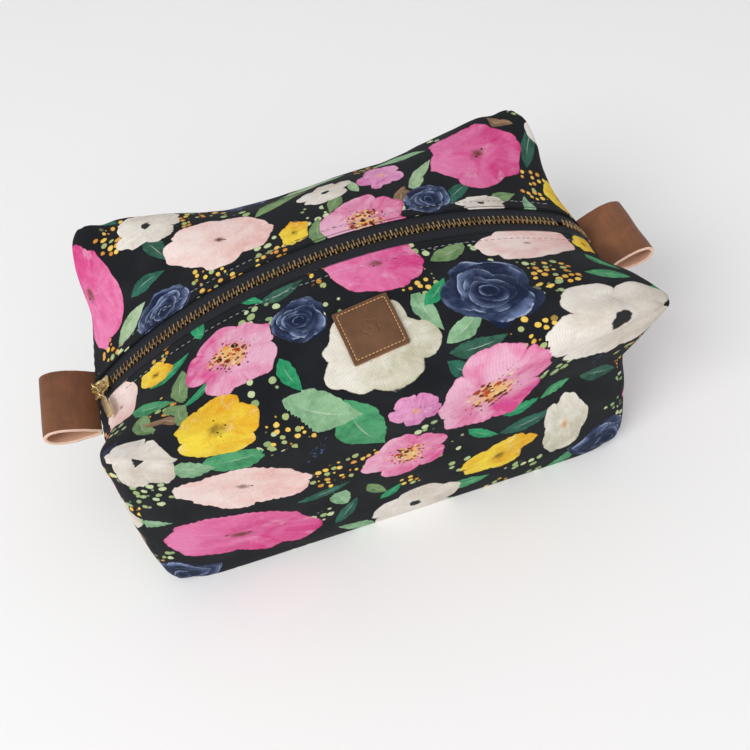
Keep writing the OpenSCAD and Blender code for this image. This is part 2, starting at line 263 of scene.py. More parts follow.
def sew(shell):
    """Draws the canvas in along its seams, with small puckers, and along the stitched line by the zip."""
    at, p = shell.at, shell.points
    x, y, w = np.abs(at[:, 0]), np.abs(at[:, 1]), at[:, 2]
    on_end = x > 0.9999

    def groove(distance, along, deep, width, pucker):
        wave = 0.5 + 0.5 * np.sin(2 * np.pi * along / pucker)
        fold = 0.35 * wave * np.exp(-(distance / (3.2 * width)) ** 2)
        return deep * (np.exp(-(distance / width) ** 2) + fold)

    level_seam = groove(w * SEAM_HEIGHT, p[:, 1], 1.1, 1.3, 5.2) * on_end
    corner = groove((1 - y) * HALF_DEPTH, p[:, 2], 0.55, 1.2, 6.0) * on_end * ease(-w, -0.02, 0.05)
    middle = groove(p[:, 1], p[:, 2] + p[:, 0], 1.0, 1.4, 5.0) * (w < 0.01)
    depth = level_seam + corner + middle
    line = (y - STITCH_SHARE) * HALF_DEPTH
    wave = 0.5 + 0.5 * np.cos(2 * np.pi * p[:, 0] / STITCH_PITCH)
    depth += (w > 0.9) * ((0.35 + 0.3 * wave) * np.exp(-(line / 0.9) ** 2))
    crease = np.maximum(0, np.sin(2 * np.pi * p[:, 0] / 17 + 2 * ripple(p, 30, 5.5)))
    depth += (w > 0.9) * (line > 0) * 0.35 * (np.exp(-(line / 9) ** 2) * crease)
    depth -= (w > 0.5) * (line < 0) * 0.25
    shell.points = p - shell.normals() * depth[:, None]
    shell.points[:, 2] = np.maximum(shell.points[:, 2], 0.02)


HEM_ROLL = 0.5
HEM_UNDER = (1.5, 3.5, 6.0)
# how far each row of the hem lies from the slot's edge, on the flat cloth
HEM_DOWN = (0, 0.3, 0.6, 0.8, 1.1, 1.3, 1.6, 3.1, 5.1, 7.6)


def fold_edge(shell):
    """Turns the canvas over and under along the slot, as a folded hem on the tape."""
    edge = shell.zip_edge()
    p = shell.points[edge]
    shoulder = p[:, 0] > SHOULDER_X + SHOULDER_R * math.sin(ZIP_RIGHT)
    centre = np.where(shoulder[:, None], (SHOULDER_X, 0, SHOULDER_Z), (ZIP_PEAK_X, 0, ZIP_CENTRE_Z))
    out = (p - centre) * (1, 0, 1)
    out /= np.linalg.norm(out, axis=1, keepdims=True)
    inward = np.array([0, -shell.side, 0.0])
    rows = [p - HEM_ROLL * out + HEM_ROLL * (out * math.cos(turn) + inward * math.sin(turn))
            for turn in np.radians(np.linspace(30, 180, 6))]
    rows += [p - 2 * HEM_ROLL * out - inward * back for back in HEM_UNDER]
    n = len(edge)
    index = np.concatenate([[edge], len(shell.points) + np.arange(len(rows) * n).reshape(len(rows), n)])
    along = run(p, 0)
    along -= along[len(along) // 2]
    places = np.stack(np.meshgrid(along, ZIP_GAP / 2 - np.array(HEM_DOWN)), -1).reshape(-1, 2)
    order = [1, 2, 3, 0] if shell.side == FRONT else [0, 3, 2, 1]
    corners = grid_quads(np.arange(index.size).reshape(index.shape))[:, order]
    shell.points = np.concatenate([shell.points] + rows)
    shell.quads = np.concatenate([shell.quads, grid_quads(index)[:, order]])
    shell.cloth = np.concatenate([shell.cloth, places[corners]])


def thicken(shell, outer, inner):
    """Points and quads of a closed layer between two depths under the shell."""
    n = shell.normals()
    count = len(shell.points)
    points = np.concatenate([shell.points - n * outer, shell.points - n * inner])
    under = shell.quads[:, ::-1] + count
    edges = np.concatenate([shell.quads[:, [k, (k + 1) % 4]] for k in range(4)])
    code = edges.min(1) * count + edges.max(1)
    _, where, times = np.unique(code, return_index=True, return_counts=True)
    rim = edges[where[times == 1]]
    walls = np.stack([rim[:, 1], rim[:, 0], rim[:, 0] + count, rim[:, 1] + count], -1)
    return points, np.concatenate([shell.quads, under, walls])


# ---------------------------------------------------------------- meshes

def add_mesh(name, points, faces, materials, crease=None, loops=None):
    """A mesh object from points in mm, smooth but for edges sharper than crease degrees. loops is each
    face corner's place on the cloth, in mm."""
    mesh = bpy.data.meshes.new(name)
    mesh.from_pydata((np.asarray(points) * MM).tolist(), [], [tuple(int(i) for i in f) for f in faces])
    if loops is not None:
        layer = mesh.uv_layers.new(name="cloth")
        layer.data.foreach_set("uv", np.asarray(loops, np.float32).reshape(-1))
    mesh.validate()
    for m in materials:
        mesh.materials.append(m)
    mesh.polygons.foreach_set("use_smooth", [True] * len(mesh.polygons))
    if crease:
        mesh.set_sharp_from_angle(angle=math.radians(crease))
    mesh.update()
    obj = bpy.data.objects.new(name, mesh)
    bpy.context.scene.collection.objects.link(obj)
    return obj


def place(obj, body, node):
    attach(obj, body)
    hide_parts(node)


def moved(points, matrix):
    m = np.array(matrix)
    return np.asarray(points, float) @ m[:3, :3].T + m[:3, 3]


class Parts:
    """Gathers several small solids, each moved by a matrix, into one mesh."""

    def __init__(self):
        self.points, self.faces = [], []
        self.count = 0

    def add(self, points, faces, matrix):
        self.points.append(moved(points, matrix))
        self.faces += [tuple(i + self.count for i in f) for f in faces]
        self.count += len(points)

    def build(self, name, materials, crease=None):
        return add_mesh(name, np.concatenate(self.points), self.faces, materials, crease)


def plate(outline, low, high, bevel, steps=2, holes=()):
    """A flat plate from an outline in X and Y, with rounded edges."""
    bm = bmesh.new()
    edges = []
    for loop in (outline, *holes):
        verts = [bm.verts.new((x, y, low)) for x, y in loop]
        edges += [bm.edges.new((verts[k - 1], verts[k])) for k in range(len(verts))]
    bmesh.ops.triangle_fill(bm, edges=edges, use_beauty=True)
    bmesh.ops.dissolve_limit(bm, angle_limit=0.01, verts=bm.verts, edges=bm.edges)
    made = bmesh.ops.extrude_face_region(bm, geom=list(bm.faces))
    top = [v for v in made["geom"] if isinstance(v, bmesh.types.BMVert)]
    bmesh.ops.translate(bm, vec=(0, 0, high - low), verts=top)
    bmesh.ops.recalc_face_normals(bm, faces=bm.faces)
    rims = [e for e in bm.edges if abs(e.verts[0].co.z - e.verts[1].co.z) < 1e-6 and e.calc_face_angle(0) > 1]
    bmesh.ops.bevel(bm, geom=rims, offset=bevel, segments=steps, affect="EDGES", profile=0.5)
    bmesh.ops.triangulate(bm, faces=[f for f in bm.faces if len(f.verts) > 4])
    bm.verts.index_update()
    points = [tuple(v.co) for v in bm.verts]
    faces = [tuple(v.index for v in f.verts) for f in bm.faces]
    bm.free()
    return points, faces


def ring_faces(rings, sides, closed=False):
    """Quads between the rings of a swept shape."""
    faces = []
    for i in range(rings if closed else rings - 1):
        here, there = i * sides, (i + 1) % rings * sides
        for j in range(sides):
            k = (j + 1) % sides
            faces.append((here + j, here + k, there + k, there + j))
    return faces


def tube(path, radius, sides=12, closed=False):
    """A round bar along a path; radius is one number or one for each point."""
    path = np.asarray(path, float)
    n = len(path)
    radius = np.broadcast_to(np.asarray(radius, float), (n,))
    ahead = np.roll(path, -1, 0) - np.roll(path, 1, 0)
    if not closed:
        ahead[0], ahead[-1] = path[1] - path[0], path[-1] - path[-2]
    ahead /= np.linalg.norm(ahead, axis=1, keepdims=True)
    spread = path.max(0) - path.min(0)
    up = np.eye(3)[int(np.argmin(spread))]
    across = np.cross(ahead, up)
    across /= np.linalg.norm(across, axis=1, keepdims=True)
    lift = np.cross(across, ahead)
    turn = np.arange(sides) * 2 * np.pi / sides
    ring = across[:, None] * np.cos(turn)[None, :, None] + lift[:, None] * np.sin(turn)[None, :, None]
    points = (path[:, None] + ring * radius[:, None, None]).reshape(-1, 3)
    faces = ring_faces(n, sides, closed)
    if not closed:
        faces.append(tuple(range(sides))[::-1])
        faces.append(tuple(range((n - 1) * sides, n * sides)))
    return points, faces


def stitch(length, radius, dip=0.35):
    """One thread stitch along X that dives into the cloth at both ends."""
    t = np.linspace(-1, 1, 9)
    path = np.stack([t * length / 2, 0 * t, -dip * np.abs(t) ** 4], -1)
    return tube(path, radius * np.sqrt(np.maximum(0.06, 1 - np.abs(t) ** 6)), 8)


def frame_of(origin, x_axis, z_axis):
    """A matrix that stands things at origin with X and Z near those directions."""
    z = Vector(z_axis).normalized()
    x = Vector(x_axis)
    x = (x - z * x.dot(z)).normalized()
    y = z.cross(x)
    m = Matrix.Identity(4)
    for k in range(3):
        m[k][0], m[k][1], m[k][2], m[k][3] = x[k], y[k], z[k], origin[k]
    return m


def on_arc(x, z, radius, angle):
    """Stands things on an arc about (x, 0, z), at an angle from its highest point."""
    turn = Matrix.Rotation(angle, 4, "Y")
    return Matrix.Translation((x, 0, z)) @ turn @ Matrix.Translation((0, 0, radius))


def on_zip(angle):
    return on_arc(ZIP_PEAK_X, ZIP_CENTRE_Z, ZIP_R, angle)


def on_shoulder(angle):
    return on_arc(SHOULDER_X, SHOULDER_Z, SHOULDER_R, angle)


# ---------------------------------------------------------------- material helpers

def rgb(code):
    """A linear colour from a screen colour written as #rrggbb."""
    parts = [int(code[k:k + 2], 16) / 255 for k in (1, 3, 5)]
    return tuple(c / 12.92 if c < 0.04045 else ((c + 0.055) / 1.055) ** 2.4 for c in parts)


class Wire:
    """One output of a node, for use in sums."""

    __array_ufunc__ = None  # numpy's numbers leave sums with a wire to the wire

    def __init__(self, net, socket):
        self.net, self.socket = net, socket

    def __add__(self, other):
        return self.net.math("ADD", self, other)

    def __radd__(self, other):
        return self.net.math("ADD", other, self)

    def __sub__(self, other):
        return self.net.math("SUBTRACT", self, other)

    def __rsub__(self, other):
        return self.net.math("SUBTRACT", other, self)

    def __mul__(self, other):
        return self.net.math("MULTIPLY", self, other)

    def __rmul__(self, other):
        return self.net.math("MULTIPLY", other, self)

    def __truediv__(self, other):
        return self.net.math("DIVIDE", self, other)

    def __abs__(self):
        return self.net.math("ABSOLUTE", self)


class Net:
    """Builds one material's node tree; its methods return wires."""

    def __init__(self, name, **constants):
        self.material = bpy.data.materials.new(name)
        self.material.use_nodes = True
        self.tree = self.material.node_tree
        self.tree.nodes.clear()
        self.shader = self.tree.nodes.new("ShaderNodeBsdfPrincipled")
        output = self.tree.nodes.new("ShaderNodeOutputMaterial")
        self.tree.links.new(self.shader.outputs[0], output.inputs[0])
        for socket, value in constants.items():
            self.shader.inputs[socket.replace("_", " ")].default_value = value

    def put(self, socket, value):
        if isinstance(value, Wire):
            self.tree.links.new(value.socket, socket)
        elif isinstance(value, tuple) and len(value) == 3 and socket.type == "RGBA":
            socket.default_value = (*value, 1)
        else:
            socket.default_value = value

    def finish(self, colour, rough=None, normal=None):
        """Joins colour, roughness and normal to the shader."""
        for name, value in (("Base Color", colour), ("Roughness", rough), ("Normal", normal)):
            if value is not None:
                self.put(self.shader.inputs[name], value)
        return self.material

    def node(self, kind, inputs=(), **settings):
        """A new node; inputs holds its sockets' values in order, or by name or number."""
        n = self.tree.nodes.new("ShaderNode" + kind)
        for name, value in settings.items():
            setattr(n, name, value)
        for socket, value in inputs.items() if isinstance(inputs, dict) else enumerate(inputs):
            self.put(n.inputs[socket], value)
        return n

    def out(self, n, which=0):
        return Wire(self, n.outputs[which])

    def math(self, kind, *values, clamp=False):
        return self.out(self.node("Math", values, operation=kind, use_clamp=clamp))

    def sin(self, a):
        return self.math("SINE", a)

    def cos(self, a):
        return self.math("COSINE", a)

    def hypot(self, a, b):
        return self.math("SQRT", a * a + b * b)

    def step(self, x, low, high, to=(0.0, 1.0)):
        """The first of to below low, the second above high, smooth between."""
        return self.out(self.node("MapRange", (x, low, high, *to), interpolation_type="SMOOTHSTEP"))

    def fade(self, x, low, high):
        """1 below low, 0 above high, smooth between."""
        return 1.0 - self.step(x, low, high)

    def combine(self, x, y, z=0.0):
        return self.out(self.node("CombineXYZ", (x, y, z)))

    def split(self, vector):
        n = self.node("SeparateXYZ", (vector,))
        return [self.out(n, k) for k in range(3)]

    def vector(self, kind, a, b):
        return self.out(self.node("VectorMath", (a, b), operation=kind))

    def noise(self, vector, scale, detail=2.0, rough=0.5, distort=0.0):
        return self.out(self.node("TexNoise", {"Vector": vector, "Scale": scale, "Detail": detail,
                                               "Roughness": rough, "Distortion": distort}))

    def cells(self, vector, scale, spread=1.0):
        """Distance to the nearest cell point, the cell's own random number, and where its point is."""
        n = self.node("TexVoronoi", {"Vector": vector, "Scale": scale, "Randomness": spread})
        return self.out(n, "Distance"), self.split(self.out(n, "Color"))[0], self.out(n, "Position")

    def cell_edges(self, vector, scale):
        """Distance to the nearest border between cells."""
        n = self.node("TexVoronoi", {"Vector": vector, "Scale": scale}, feature="DISTANCE_TO_EDGE")
        return self.out(n, "Distance")

    def ramp(self, fac, stops):
        n = self.node("ValToRGB", (fac,))
        band = n.color_ramp
        for k, (at, colour) in enumerate(stops):
            stop = band.elements[k] if k < 2 else band.elements.new(at)
            stop.position = at
            stop.color = (*colour, 1)
        return self.out(n)

    def mix(self, fac, a, b, kind="MIX"):
        return self.out(self.node("Mix", {0: fac, 6: a, 7: b}, data_type="RGBA", blend_type=kind), 2)

    def attribute(self, name):
        return self.out(self.node("Attribute", attribute_name=name), "Vector")

    def colour(self, name):
        return self.out(self.node("Attribute", attribute_name=name), "Color")

    def place(self):
        """The object's own coordinates, in mm."""
        return self.vector("MULTIPLY", self.out(self.node("TexCoord"), "Object"), (1 / MM, 1 / MM, 1 / MM))

    def cloth(self):
        """The place on the flat fabric, in mm."""
        return self.out(self.node("UVMap", uv_map="cloth"))

    def bump(self, height, depth_mm, strength=1.0, under=None):
        sockets = {"Strength": strength, "Distance": depth_mm * MM, "Height": height}
        if under is not None:
            sockets["Normal"] = under
        return self.out(self.node("Bump", sockets))


def plain_weave(net, u, v, pitch):
    """Height from 0 to 1 of a plain weave: threads that pass over and under each other."""
    a = net.sin(u * (math.pi / pitch))
    b = net.sin(v * (math.pi / pitch))
    wide, tall = (abs(a), abs(b))
    over = tall * (wide * 0.4 + 0.6)
    under = wide * (tall * 0.4 + 0.6)
    which = net.step(a * b, -0.02, 0.02)
    return over * which + under * (1.0 - which)


# ---------------------------------------------------------------- the floral print

PAINTS = {
    # kind: petal, shade and heart colours; heart share, stamens, rose, ruffle
    "hot": ("#ee86b6", "#d83d84", "#6e3a1c", 0.17, 0.35, 0.0, 0.25),
    "pink": ("#f0b6cf", "#e04e93", "#e8a63c", 0.42, 1.0, 0.0, 0.7),
    "blush": ("#f9e4de", "#efbdb6", "#6b3517", 0.12, 0.3, 0.0, 0.4),
    "white": ("#f2ece3", "#d3c8ba", "#14161b", 0.15, 0.0, 0.0, 0.8),
    "cream": ("#f0ebde", "#c5c1a6", "#dfa04a", 0.24, 0.25, 0.0, 0.3),
    "blue": ("#7486b0", "#131f3c", "#25355c", 0.06, 0.0, 1.0, 0.2),
    "yellow": ("#f8dc47", "#e9a421", "#6b4a16", 0.26, 0.45, 0.0, 0.5),
    "bud": ("#eda9d0", "#d070ac", "#f0b27a", 0.24, 0.4, 0.0, 1.0),
}

# kind, u, v, radius, turn in degrees, squeeze; u runs along the bag and v outward from the zip, in mm
FRONT_FLOWERS = [
    ("hot", 14, 15, 25, 20, 0.68), ("blue", -26, 31, 14, 10, 0.9), ("pink", -58, 36, 22, 200, 0.9),
    ("yellow", -96, 20, 10, 30, 0.75), ("blush", -117, 24, 20, 80, 0.6), ("yellow", -68, 70, 19, 335, 0.75),
    ("cream", 2, 55, 25, 0, 0.9), ("blue", 53, 44, 22, 60, 0.95), ("blush", 86, 17, 27, -8, 0.5),
    ("yellow", 118, 16, 8, 0, 0.9), ("white", 90, 80, 28, 15, 0.95), ("pink", 44, 94, 26, 40, 1),
    ("bud", 10, 88, 12, 30, 0.9), ("white", -103, 82, 19, 60, 0.85), ("blush", -66, 112, 29, 5, 0.62),
    ("pink", 5, 122, 21, 10, 0.8), ("hot", -74, 153, 37, 5, 0.62), ("yellow", 47, 152, 20, -10, 0.6),
    ("white", 5, 171, 24, 0, 0.7), ("cream", 80, 152, 27, 90, 0.45), ("blue", -108, 186, 20, 30, 0.9),
    ("blue", 104, 190, 22, 30, 0.9), ("white", -131, 128, 17, 0, 1), ("white", -134, 165, 15, 0, 1),
    ("hot", -40, 215, 28, 40, 0.8), ("pink", 40, 222, 26, 0, 0.9), ("blush", 140, 100, 26, 10, 0.85),
    ("pink", 138, 160, 24, 70, 0.9), ("yellow", -150, 96, 14, 0, 0.9), ("cream", -160, 200, 24, 0, 0.9),
    ("blue", 168, 130, 20, 0, 0.9), ("hot", 134, 44, 19, 70, 0.8), ("pink", -138, 52, 20, 0, 0.9),
    ("white", 165, 205, 24, 0, 0.9), ("yellow", 82, 222, 15, 0, 0.9), ("blush", -95, 232, 24, 0, 0.9),
]
BACK_FLOWERS = [
    ("hot", -119, 46, 31, 90, 0.58), ("white", -78, 64, 18, 10, 0.75), ("blush", -50, 36, 28, -15, 0.66),
    ("blue", -86, 13, 18, 20, 0.7), ("yellow", -15, 20, 9, 60, 0.85), ("pink", 18, 13, 22, 10, 0.9),
    ("white", 6, 46, 14, 20, 0.7), ("bud", 34, 46, 12, 200, 0.95), ("blue", 51, 18, 13, 0, 0.9),
    ("hot", 83, 46, 29, 20, 0.85), ("white", 76, 12, 13, 0, 0.5), ("blue", -32, 76, 17, 0, 0.8),
    ("pink", -95, 110, 27, 30, 0.9), ("cream", -45, 118, 27, 0, 0.9), ("yellow", 0, 96, 16, 0, 0.8),
    ("blush", 43, 108, 27, 10, 0.78), ("blue", 92, 108, 22, 0, 0.9), ("hot", 10, 150, 31, 60, 0.85),
    ("pink", 62, 160, 23, 10, 0.9), ("white", -78, 162, 27, 0, 0.9), ("yellow", -30, 168, 16, 0, 0.9),
    ("cream", 106, 168, 18, 0, 0.9), ("blush", -30, 212, 28, 0, 0.85), ("hot", 60, 222, 28, 0, 0.85),
    ("blue", -90, 215, 22, 0, 0.9), ("white", 135, 62, 20, 0, 0.9), ("pink", 140, 112, 24, 0, 0.9),
    ("yellow", 128, 22, 13, 0, 0.9), ("blush", 150, 170, 26, 0, 0.9), ("pink", -146, 74, 18, 0, 0.9),
    ("yellow", -136, 120, 16, 0, 0.9), ("white", -150, 165, 24, 0, 0.9), ("blue", -165, 115, 16, 0, 0.9),
    ("hot", 168, 210, 22, 0, 0.9), ("bud", 168, 138, 13, 0, 0.9), ("cream", -130, 205, 18, 0, 0.9),
]

LEAF, BERRIES, CLUSTER, SPRIG = 0.0, 1.0, 1.2, 2.0
# light and dark of each green; the last two are for clusters of golden berries and of round leaflets
EMERALD, SAGE, DEEP, OLIVE, PALE, BROWN, BRIGHT, PINE, GOLD, LEAFLETS = range(10)
GREENS = [("#58ab77", "#237449"), ("#9bc49a", "#5f9069"), ("#3b6a58", "#17372e"), ("#86a571", "#4e7145"),
          ("#b3cba5", "#769a6c"), ("#9c7c5e", "#5b4433"), ("#36a771", "#127048"), ("#35715e", "#173d36"),
          ("#f7cd5c", "#dd9434"), ("#cddcaa", "#93b077")]
# form, u, v, length, turn, width, colour
FRONT_LEAVES = [
    (LEAF, -27, 74, 17, 28, 0.5, SAGE), (LEAF, -13, 90, 19, 70, 0.52, EMERALD),
    (BERRIES, -41, 78, 11, 0, 1, GOLD), (CLUSTER, -49, 84, 9, 0, 1, LEAFLETS),
    (SPRIG, -33, 96, 13, 120, 1, DEEP), (LEAF, -64, 89, 15, -12, 0.5, EMERALD),
    (LEAF, -82, 92, 9, 10, 0.6, SAGE), (LEAF, -82, 40, 12, 85, 0.34, OLIVE),
    (LEAF, -83, 58, 11, 60, 0.36, OLIVE), (BERRIES, 27, 30, 9, 70, 1, GOLD),
    (LEAF, 33, 38, 9, -40, 0.34, BRIGHT), (BERRIES, 58, 74, 12, 0, 1, GOLD),
    (CLUSTER, 72, 98, 9, 0, 1, LEAFLETS), (BERRIES, 82, 42, 11, 0, 1, GOLD),
    (CLUSTER, 70, 30, 10, 0, 1, LEAFLETS), (LEAF, 37, 58, 11, -30, 0.36, SAGE),
    (LEAF, 38, 68, 12, 0, 0.3, DEEP), (LEAF, 31, 76, 9, 40, 0.34, PINE), (LEAF, 48, 18, 11, -20, 0.35, OLIVE),
    (LEAF, 25, 45, 12, 80, 0.34, SAGE), (BERRIES, -28, 118, 11, 30, 1, GOLD),
    (LEAF, -34, 131, 13, -12, 0.22, PINE), (LEAF, -96, 44, 13, 20, 0.34, EMERALD),
    (BERRIES, -89, 47, 8, 0, 1, GOLD), (CLUSTER, -117, 52, 10, 60, 1, LEAFLETS),
    (LEAF, -98, 56, 10, 80, 0.4, OLIVE), (LEAF, -88, 60, 11, 20, 0.2, BROWN),
    (LEAF, -72, 48, 12, -35, 0.2, BRIGHT), (LEAF, 62, 134, 14, 0, 0.32, PINE),
    (LEAF, 60, 120, 9, 0, 0.4, BRIGHT), (CLUSTER, 24, 126, 9, 0, 1, LEAFLETS),
    (CLUSTER, 16, 108, 8, 0, 1, LEAFLETS), (CLUSTER, 26, 147, 8, 0, 1, LEAFLETS),
    (LEAF, -12, 142, 8, 60, 0.4, OLIVE), (LEAF, -5, 150, 7, -40, 0.4, BRIGHT),
    (LEAF, -28, 140, 9, 80, 0.5, SAGE), (CLUSTER, -42, 20, 9, 0, 1, LEAFLETS),
    (CLUSTER, -46, 58, 9, 0, 1, LEAFLETS), (LEAF, -36, 55, 9, 70, 0.4, BRIGHT),
]
BACK_LEAVES = [
    (LEAF, -5, 15, 10, 80, 0.42, OLIVE), (BERRIES, -94, 66, 11, 60, 1, GOLD),
    (LEAF, -104, 20, 12, 30, 0.35, PALE), (BERRIES, -60, 14, 11, 0, 1, GOLD),
    (LEAF, 2, 66, 18, 12, 0.25, PALE), (LEAF, -16, 52, 16, 25, 0.25, OLIVE),
    (LEAF, 52, 38, 13, 60, 0.3, PALE), (BERRIES, 112, 26, 11, 60, 1, GOLD),
    (LEAF, 46, 62, 14, -10, 0.3, SAGE), (LEAF, 114, 52, 15, 70, 0.3, DEEP),
    (CLUSTER, -40, 55, 10, 60, 1, LEAFLETS), (CLUSTER, 36, 12, 9, 0, 1, LEAFLETS),
]


# how far past its size a motif's own faces reach
FLOWER_SPREAD, LEAF_SPREAD = 1.3, 1.15
SCATTER_TRIES = 1800


def fill_leaves(flowers, leaves, seed):
    """Leaves, clusters and sprigs scattered in the gaps between the flowers."""
    dice = random.Random(seed)
    made = []
    for _ in range(SCATTER_TRIES):
        u, v = dice.uniform(-185, 185), dice.uniform(6, 252)
        away = min(math.hypot(u - f[1], v - f[2]) / f[3] for f in flowers)
        form = dice.choices((LEAF, BERRIES, CLUSTER, SPRIG), (0.50, 0.18, 0.27, 0.05))[0]
        length = dice.uniform(7, 13) if form == LEAF else dice.uniform(6, 9)
        turn, width = dice.uniform(0, 360), dice.uniform(0.26, 0.42)
        colour = {BERRIES: GOLD, CLUSTER: LEAFLETS}.get(form, dice.randrange(GOLD))
        crowd = min((math.hypot(u - m[1], v - m[2]) / (m[3] + length) for m in made + leaves), default=9)
        if away > 0.93 and crowd > 0.66:
            made.append((form, u, v, length, turn, width, colour))
    return made


def nearest(centres, cloth, reach):
    """For each face the motif that it belongs to, by distance in the motif's own size, or -1."""
    best = np.full(len(cloth), reach)
    which = np.full(len(cloth), -1)
    for k, (u, v, size, turn, squeeze) in enumerate(centres):
        d = cloth - (u, v)
        c, s = math.cos(turn), math.sin(turn)
        far = np.hypot(d[:, 0] * c + d[:, 1] * s, (d[:, 1] * c - d[:, 0] * s) / squeeze) / size
        closer = far < best
        best[closer] = far[closer]
        which[closer] = k
    return which


def write_faces(mesh, name, rows, which, blank):
    """Stores three numbers on each face: those of its own row, or the blank ones where which is -1."""
    values = np.array(rows + [blank], np.float32)[which]
    layer = mesh.attributes.new(name, "FLOAT_VECTOR", "FACE")
    layer.data.foreach_set("vector", values.reshape(-1))


def print_cloth(obj, centres, flowers, leaves, seed):
    """Stores on each face of the canvas which flower and which two leaves are printed there."""
    mesh = obj.data
    nowhere = (0.0, 0.0, -1.0)
    places = [(f[1], f[2], f[3], math.radians(f[4]), f[5]) for f in flowers]
    which = nearest(places, centres, FLOWER_SPREAD)
    paints = [PAINTS[f[0]] for f in flowers]
    write_faces(mesh, "flower_place", [p[:3] for p in places], which, nowhere)
    turns = [(p[3], p[4], 3.7 * k + 1.3) for k, p in enumerate(places)]
    write_faces(mesh, "flower_turn", turns, which, (0, 1, 0))
    write_faces(mesh, "flower_kind", [(p[3], p[4], p[5]) for p in paints], which, (0.1, 0, 0))
    for part, name in enumerate(("flower_petal", "flower_shade", "flower_heart")):
        write_faces(mesh, name, [rgb(p[part]) for p in paints], which, (0, 0, 0))
    write_faces(mesh, "flower_ruffle", [(p[6], 0, 0) for p in paints], which, (0, 0, 0))
    everything = leaves + fill_leaves(flowers, leaves, seed)
    for layer, some in (("a", everything[0::2]), ("b", everything[1::2])):
        spots = [(*m[1:4], math.radians(m[4]), 1.0 if m[0] in (BERRIES, CLUSTER) else 0.6) for m in some]
        which = nearest(spots, centres, LEAF_SPREAD)
        greens = [GREENS[m[6]] for m in some]
        write_faces(mesh, "leaf_place_" + layer, [s[:3] for s in spots], which, nowhere)
        turns = [(s[3], m[5], 2.9 * k + 0.7) for k, (s, m) in enumerate(zip(spots, some))]
        write_faces(mesh, "leaf_turn_" + layer, turns, which, (0, 1, 0))
        write_faces(mesh, "leaf_form_" + layer, [(m[0], 0, 0) for m in some], which, (0, 0, 0))
        write_faces(mesh, "leaf_light_" + layer, [rgb(g[0]) for g in greens], which, (0, 0, 0))
        write_faces(mesh, "leaf_dark_" + layer, [rgb(g[1]) for g in greens], which, (0, 0, 0))


def motif_frame(net, spot, turn, uv):
    """Coordinates inside one motif, where 1 is its radius, with its seed, its size and its centre."""
    centre = net.attribute(spot)
    cu, cv, size = net.split(centre)
    angle, squeeze, seed = net.split(net.attribute(turn))
    u, v, _ = net.split(uv)
    du, dv = (u - cu, v - cv)
    c, s = net.cos(angle), net.sin(angle)
    x = (du * c + dv * s) / size
    y = (dv * c - du * s) / size
    return x, y, squeeze, seed, size, (cu, cv)


# radius, petals to half a turn, phase
ROSE_LAYERS = ((1.0, 1.0, 0.3), (0.84, 1.5, 2.1), (0.66, 1.5, 0.9),
               (0.50, 1.5, 4.2), (0.35, 1.0, 2.9), (0.20, 1.0, 0.4))


def paint_rose(net, q, rho, theta, seed, broad, petal, shade):
    """Layers of petals from the outside in, each dark at its foot with a pale lip."""
    colour = shade
    for radius, petals, phase in ROSE_LAYERS:
        petal_turn = theta * petals + (seed + phase)
        scallop = abs(net.sin(petal_turn))
        reach = radius * (0.8 + scallop * 0.22)
        reach = reach + broad * 0.22
        part = rho / reach
        lit = 0.55 + net.sin(theta + (seed * 2.0 + phase * 1.7)) * 0.45
        patch = net.noise(net.vector("ADD", q, (phase, 0.0, 0.0)), 2.4, 4.0, 0.6)
        wash = net.step(part, 0.62, 1.0) * (lit * net.step(patch, 0.38, 0.62, (0.15, 1.15)))
        tone = net.mix(net.math("MINIMUM", wash, 1.0), shade, petal)
        lip = net.step(part, 0.93, 0.98) * (lit * net.step(patch, 0.45, 0.55))
        tone = net.mix(lip * 0.75, tone, rgb("#c3cbdb"))
        inside = net.fade(part, 0.985, 1.0)
        colour = net.mix(inside, colour, tone)
    return colour


def paint_stamens(net, q, rough_rho, stamens, colour):
    """A burst of gold, orange and rust dabs with a few dark specks."""
    glow = net.fade(rough_rho, 0.2, 1.0) * net.step(stamens, 0.5, 1.0)
    colour = net.mix(glow * 0.85, colour, rgb("#f3c877"))
    for scale, low, high, reach in ((7.5, 0.46, 0.58, 0.82), (12.0, 0.36, 0.48, 1.0)):
        far, pick, _ = net.cells(net.vector("ADD", q, (scale, 0.0, 0.0)), scale)
        near = net.fade(rough_rho, reach - 0.1, reach + 0.1)
        dab = net.fade(far, low, high) * near
        sparks = net.ramp(pick, [(0.0, rgb("#f6d98c")), (0.95, rgb("#1a1413")), (0.25, rgb("#eda23c")),
                                 (0.4, rgb("#f9e3a6")), (0.52, rgb("#cf5f2c")), (0.74, rgb("#a23c1c"))])
        shown = net.step(stamens, 0.5, 1.0) * net.step(pick, 0.12, 0.2)
        colour = net.mix(dab * shown, colour, sparks)
    far, pick, _ = net.cells(q, 8.0)
    speck = net.fade(far, 0.16, 0.22) * net.fade(rough_rho, 1.1, 1.35)
    few = net.step(stamens, 0.2, 0.3) * net.step(pick, 0.45, 0.5)
    return net.mix(speck * few, colour, rgb("#2a1c17"))


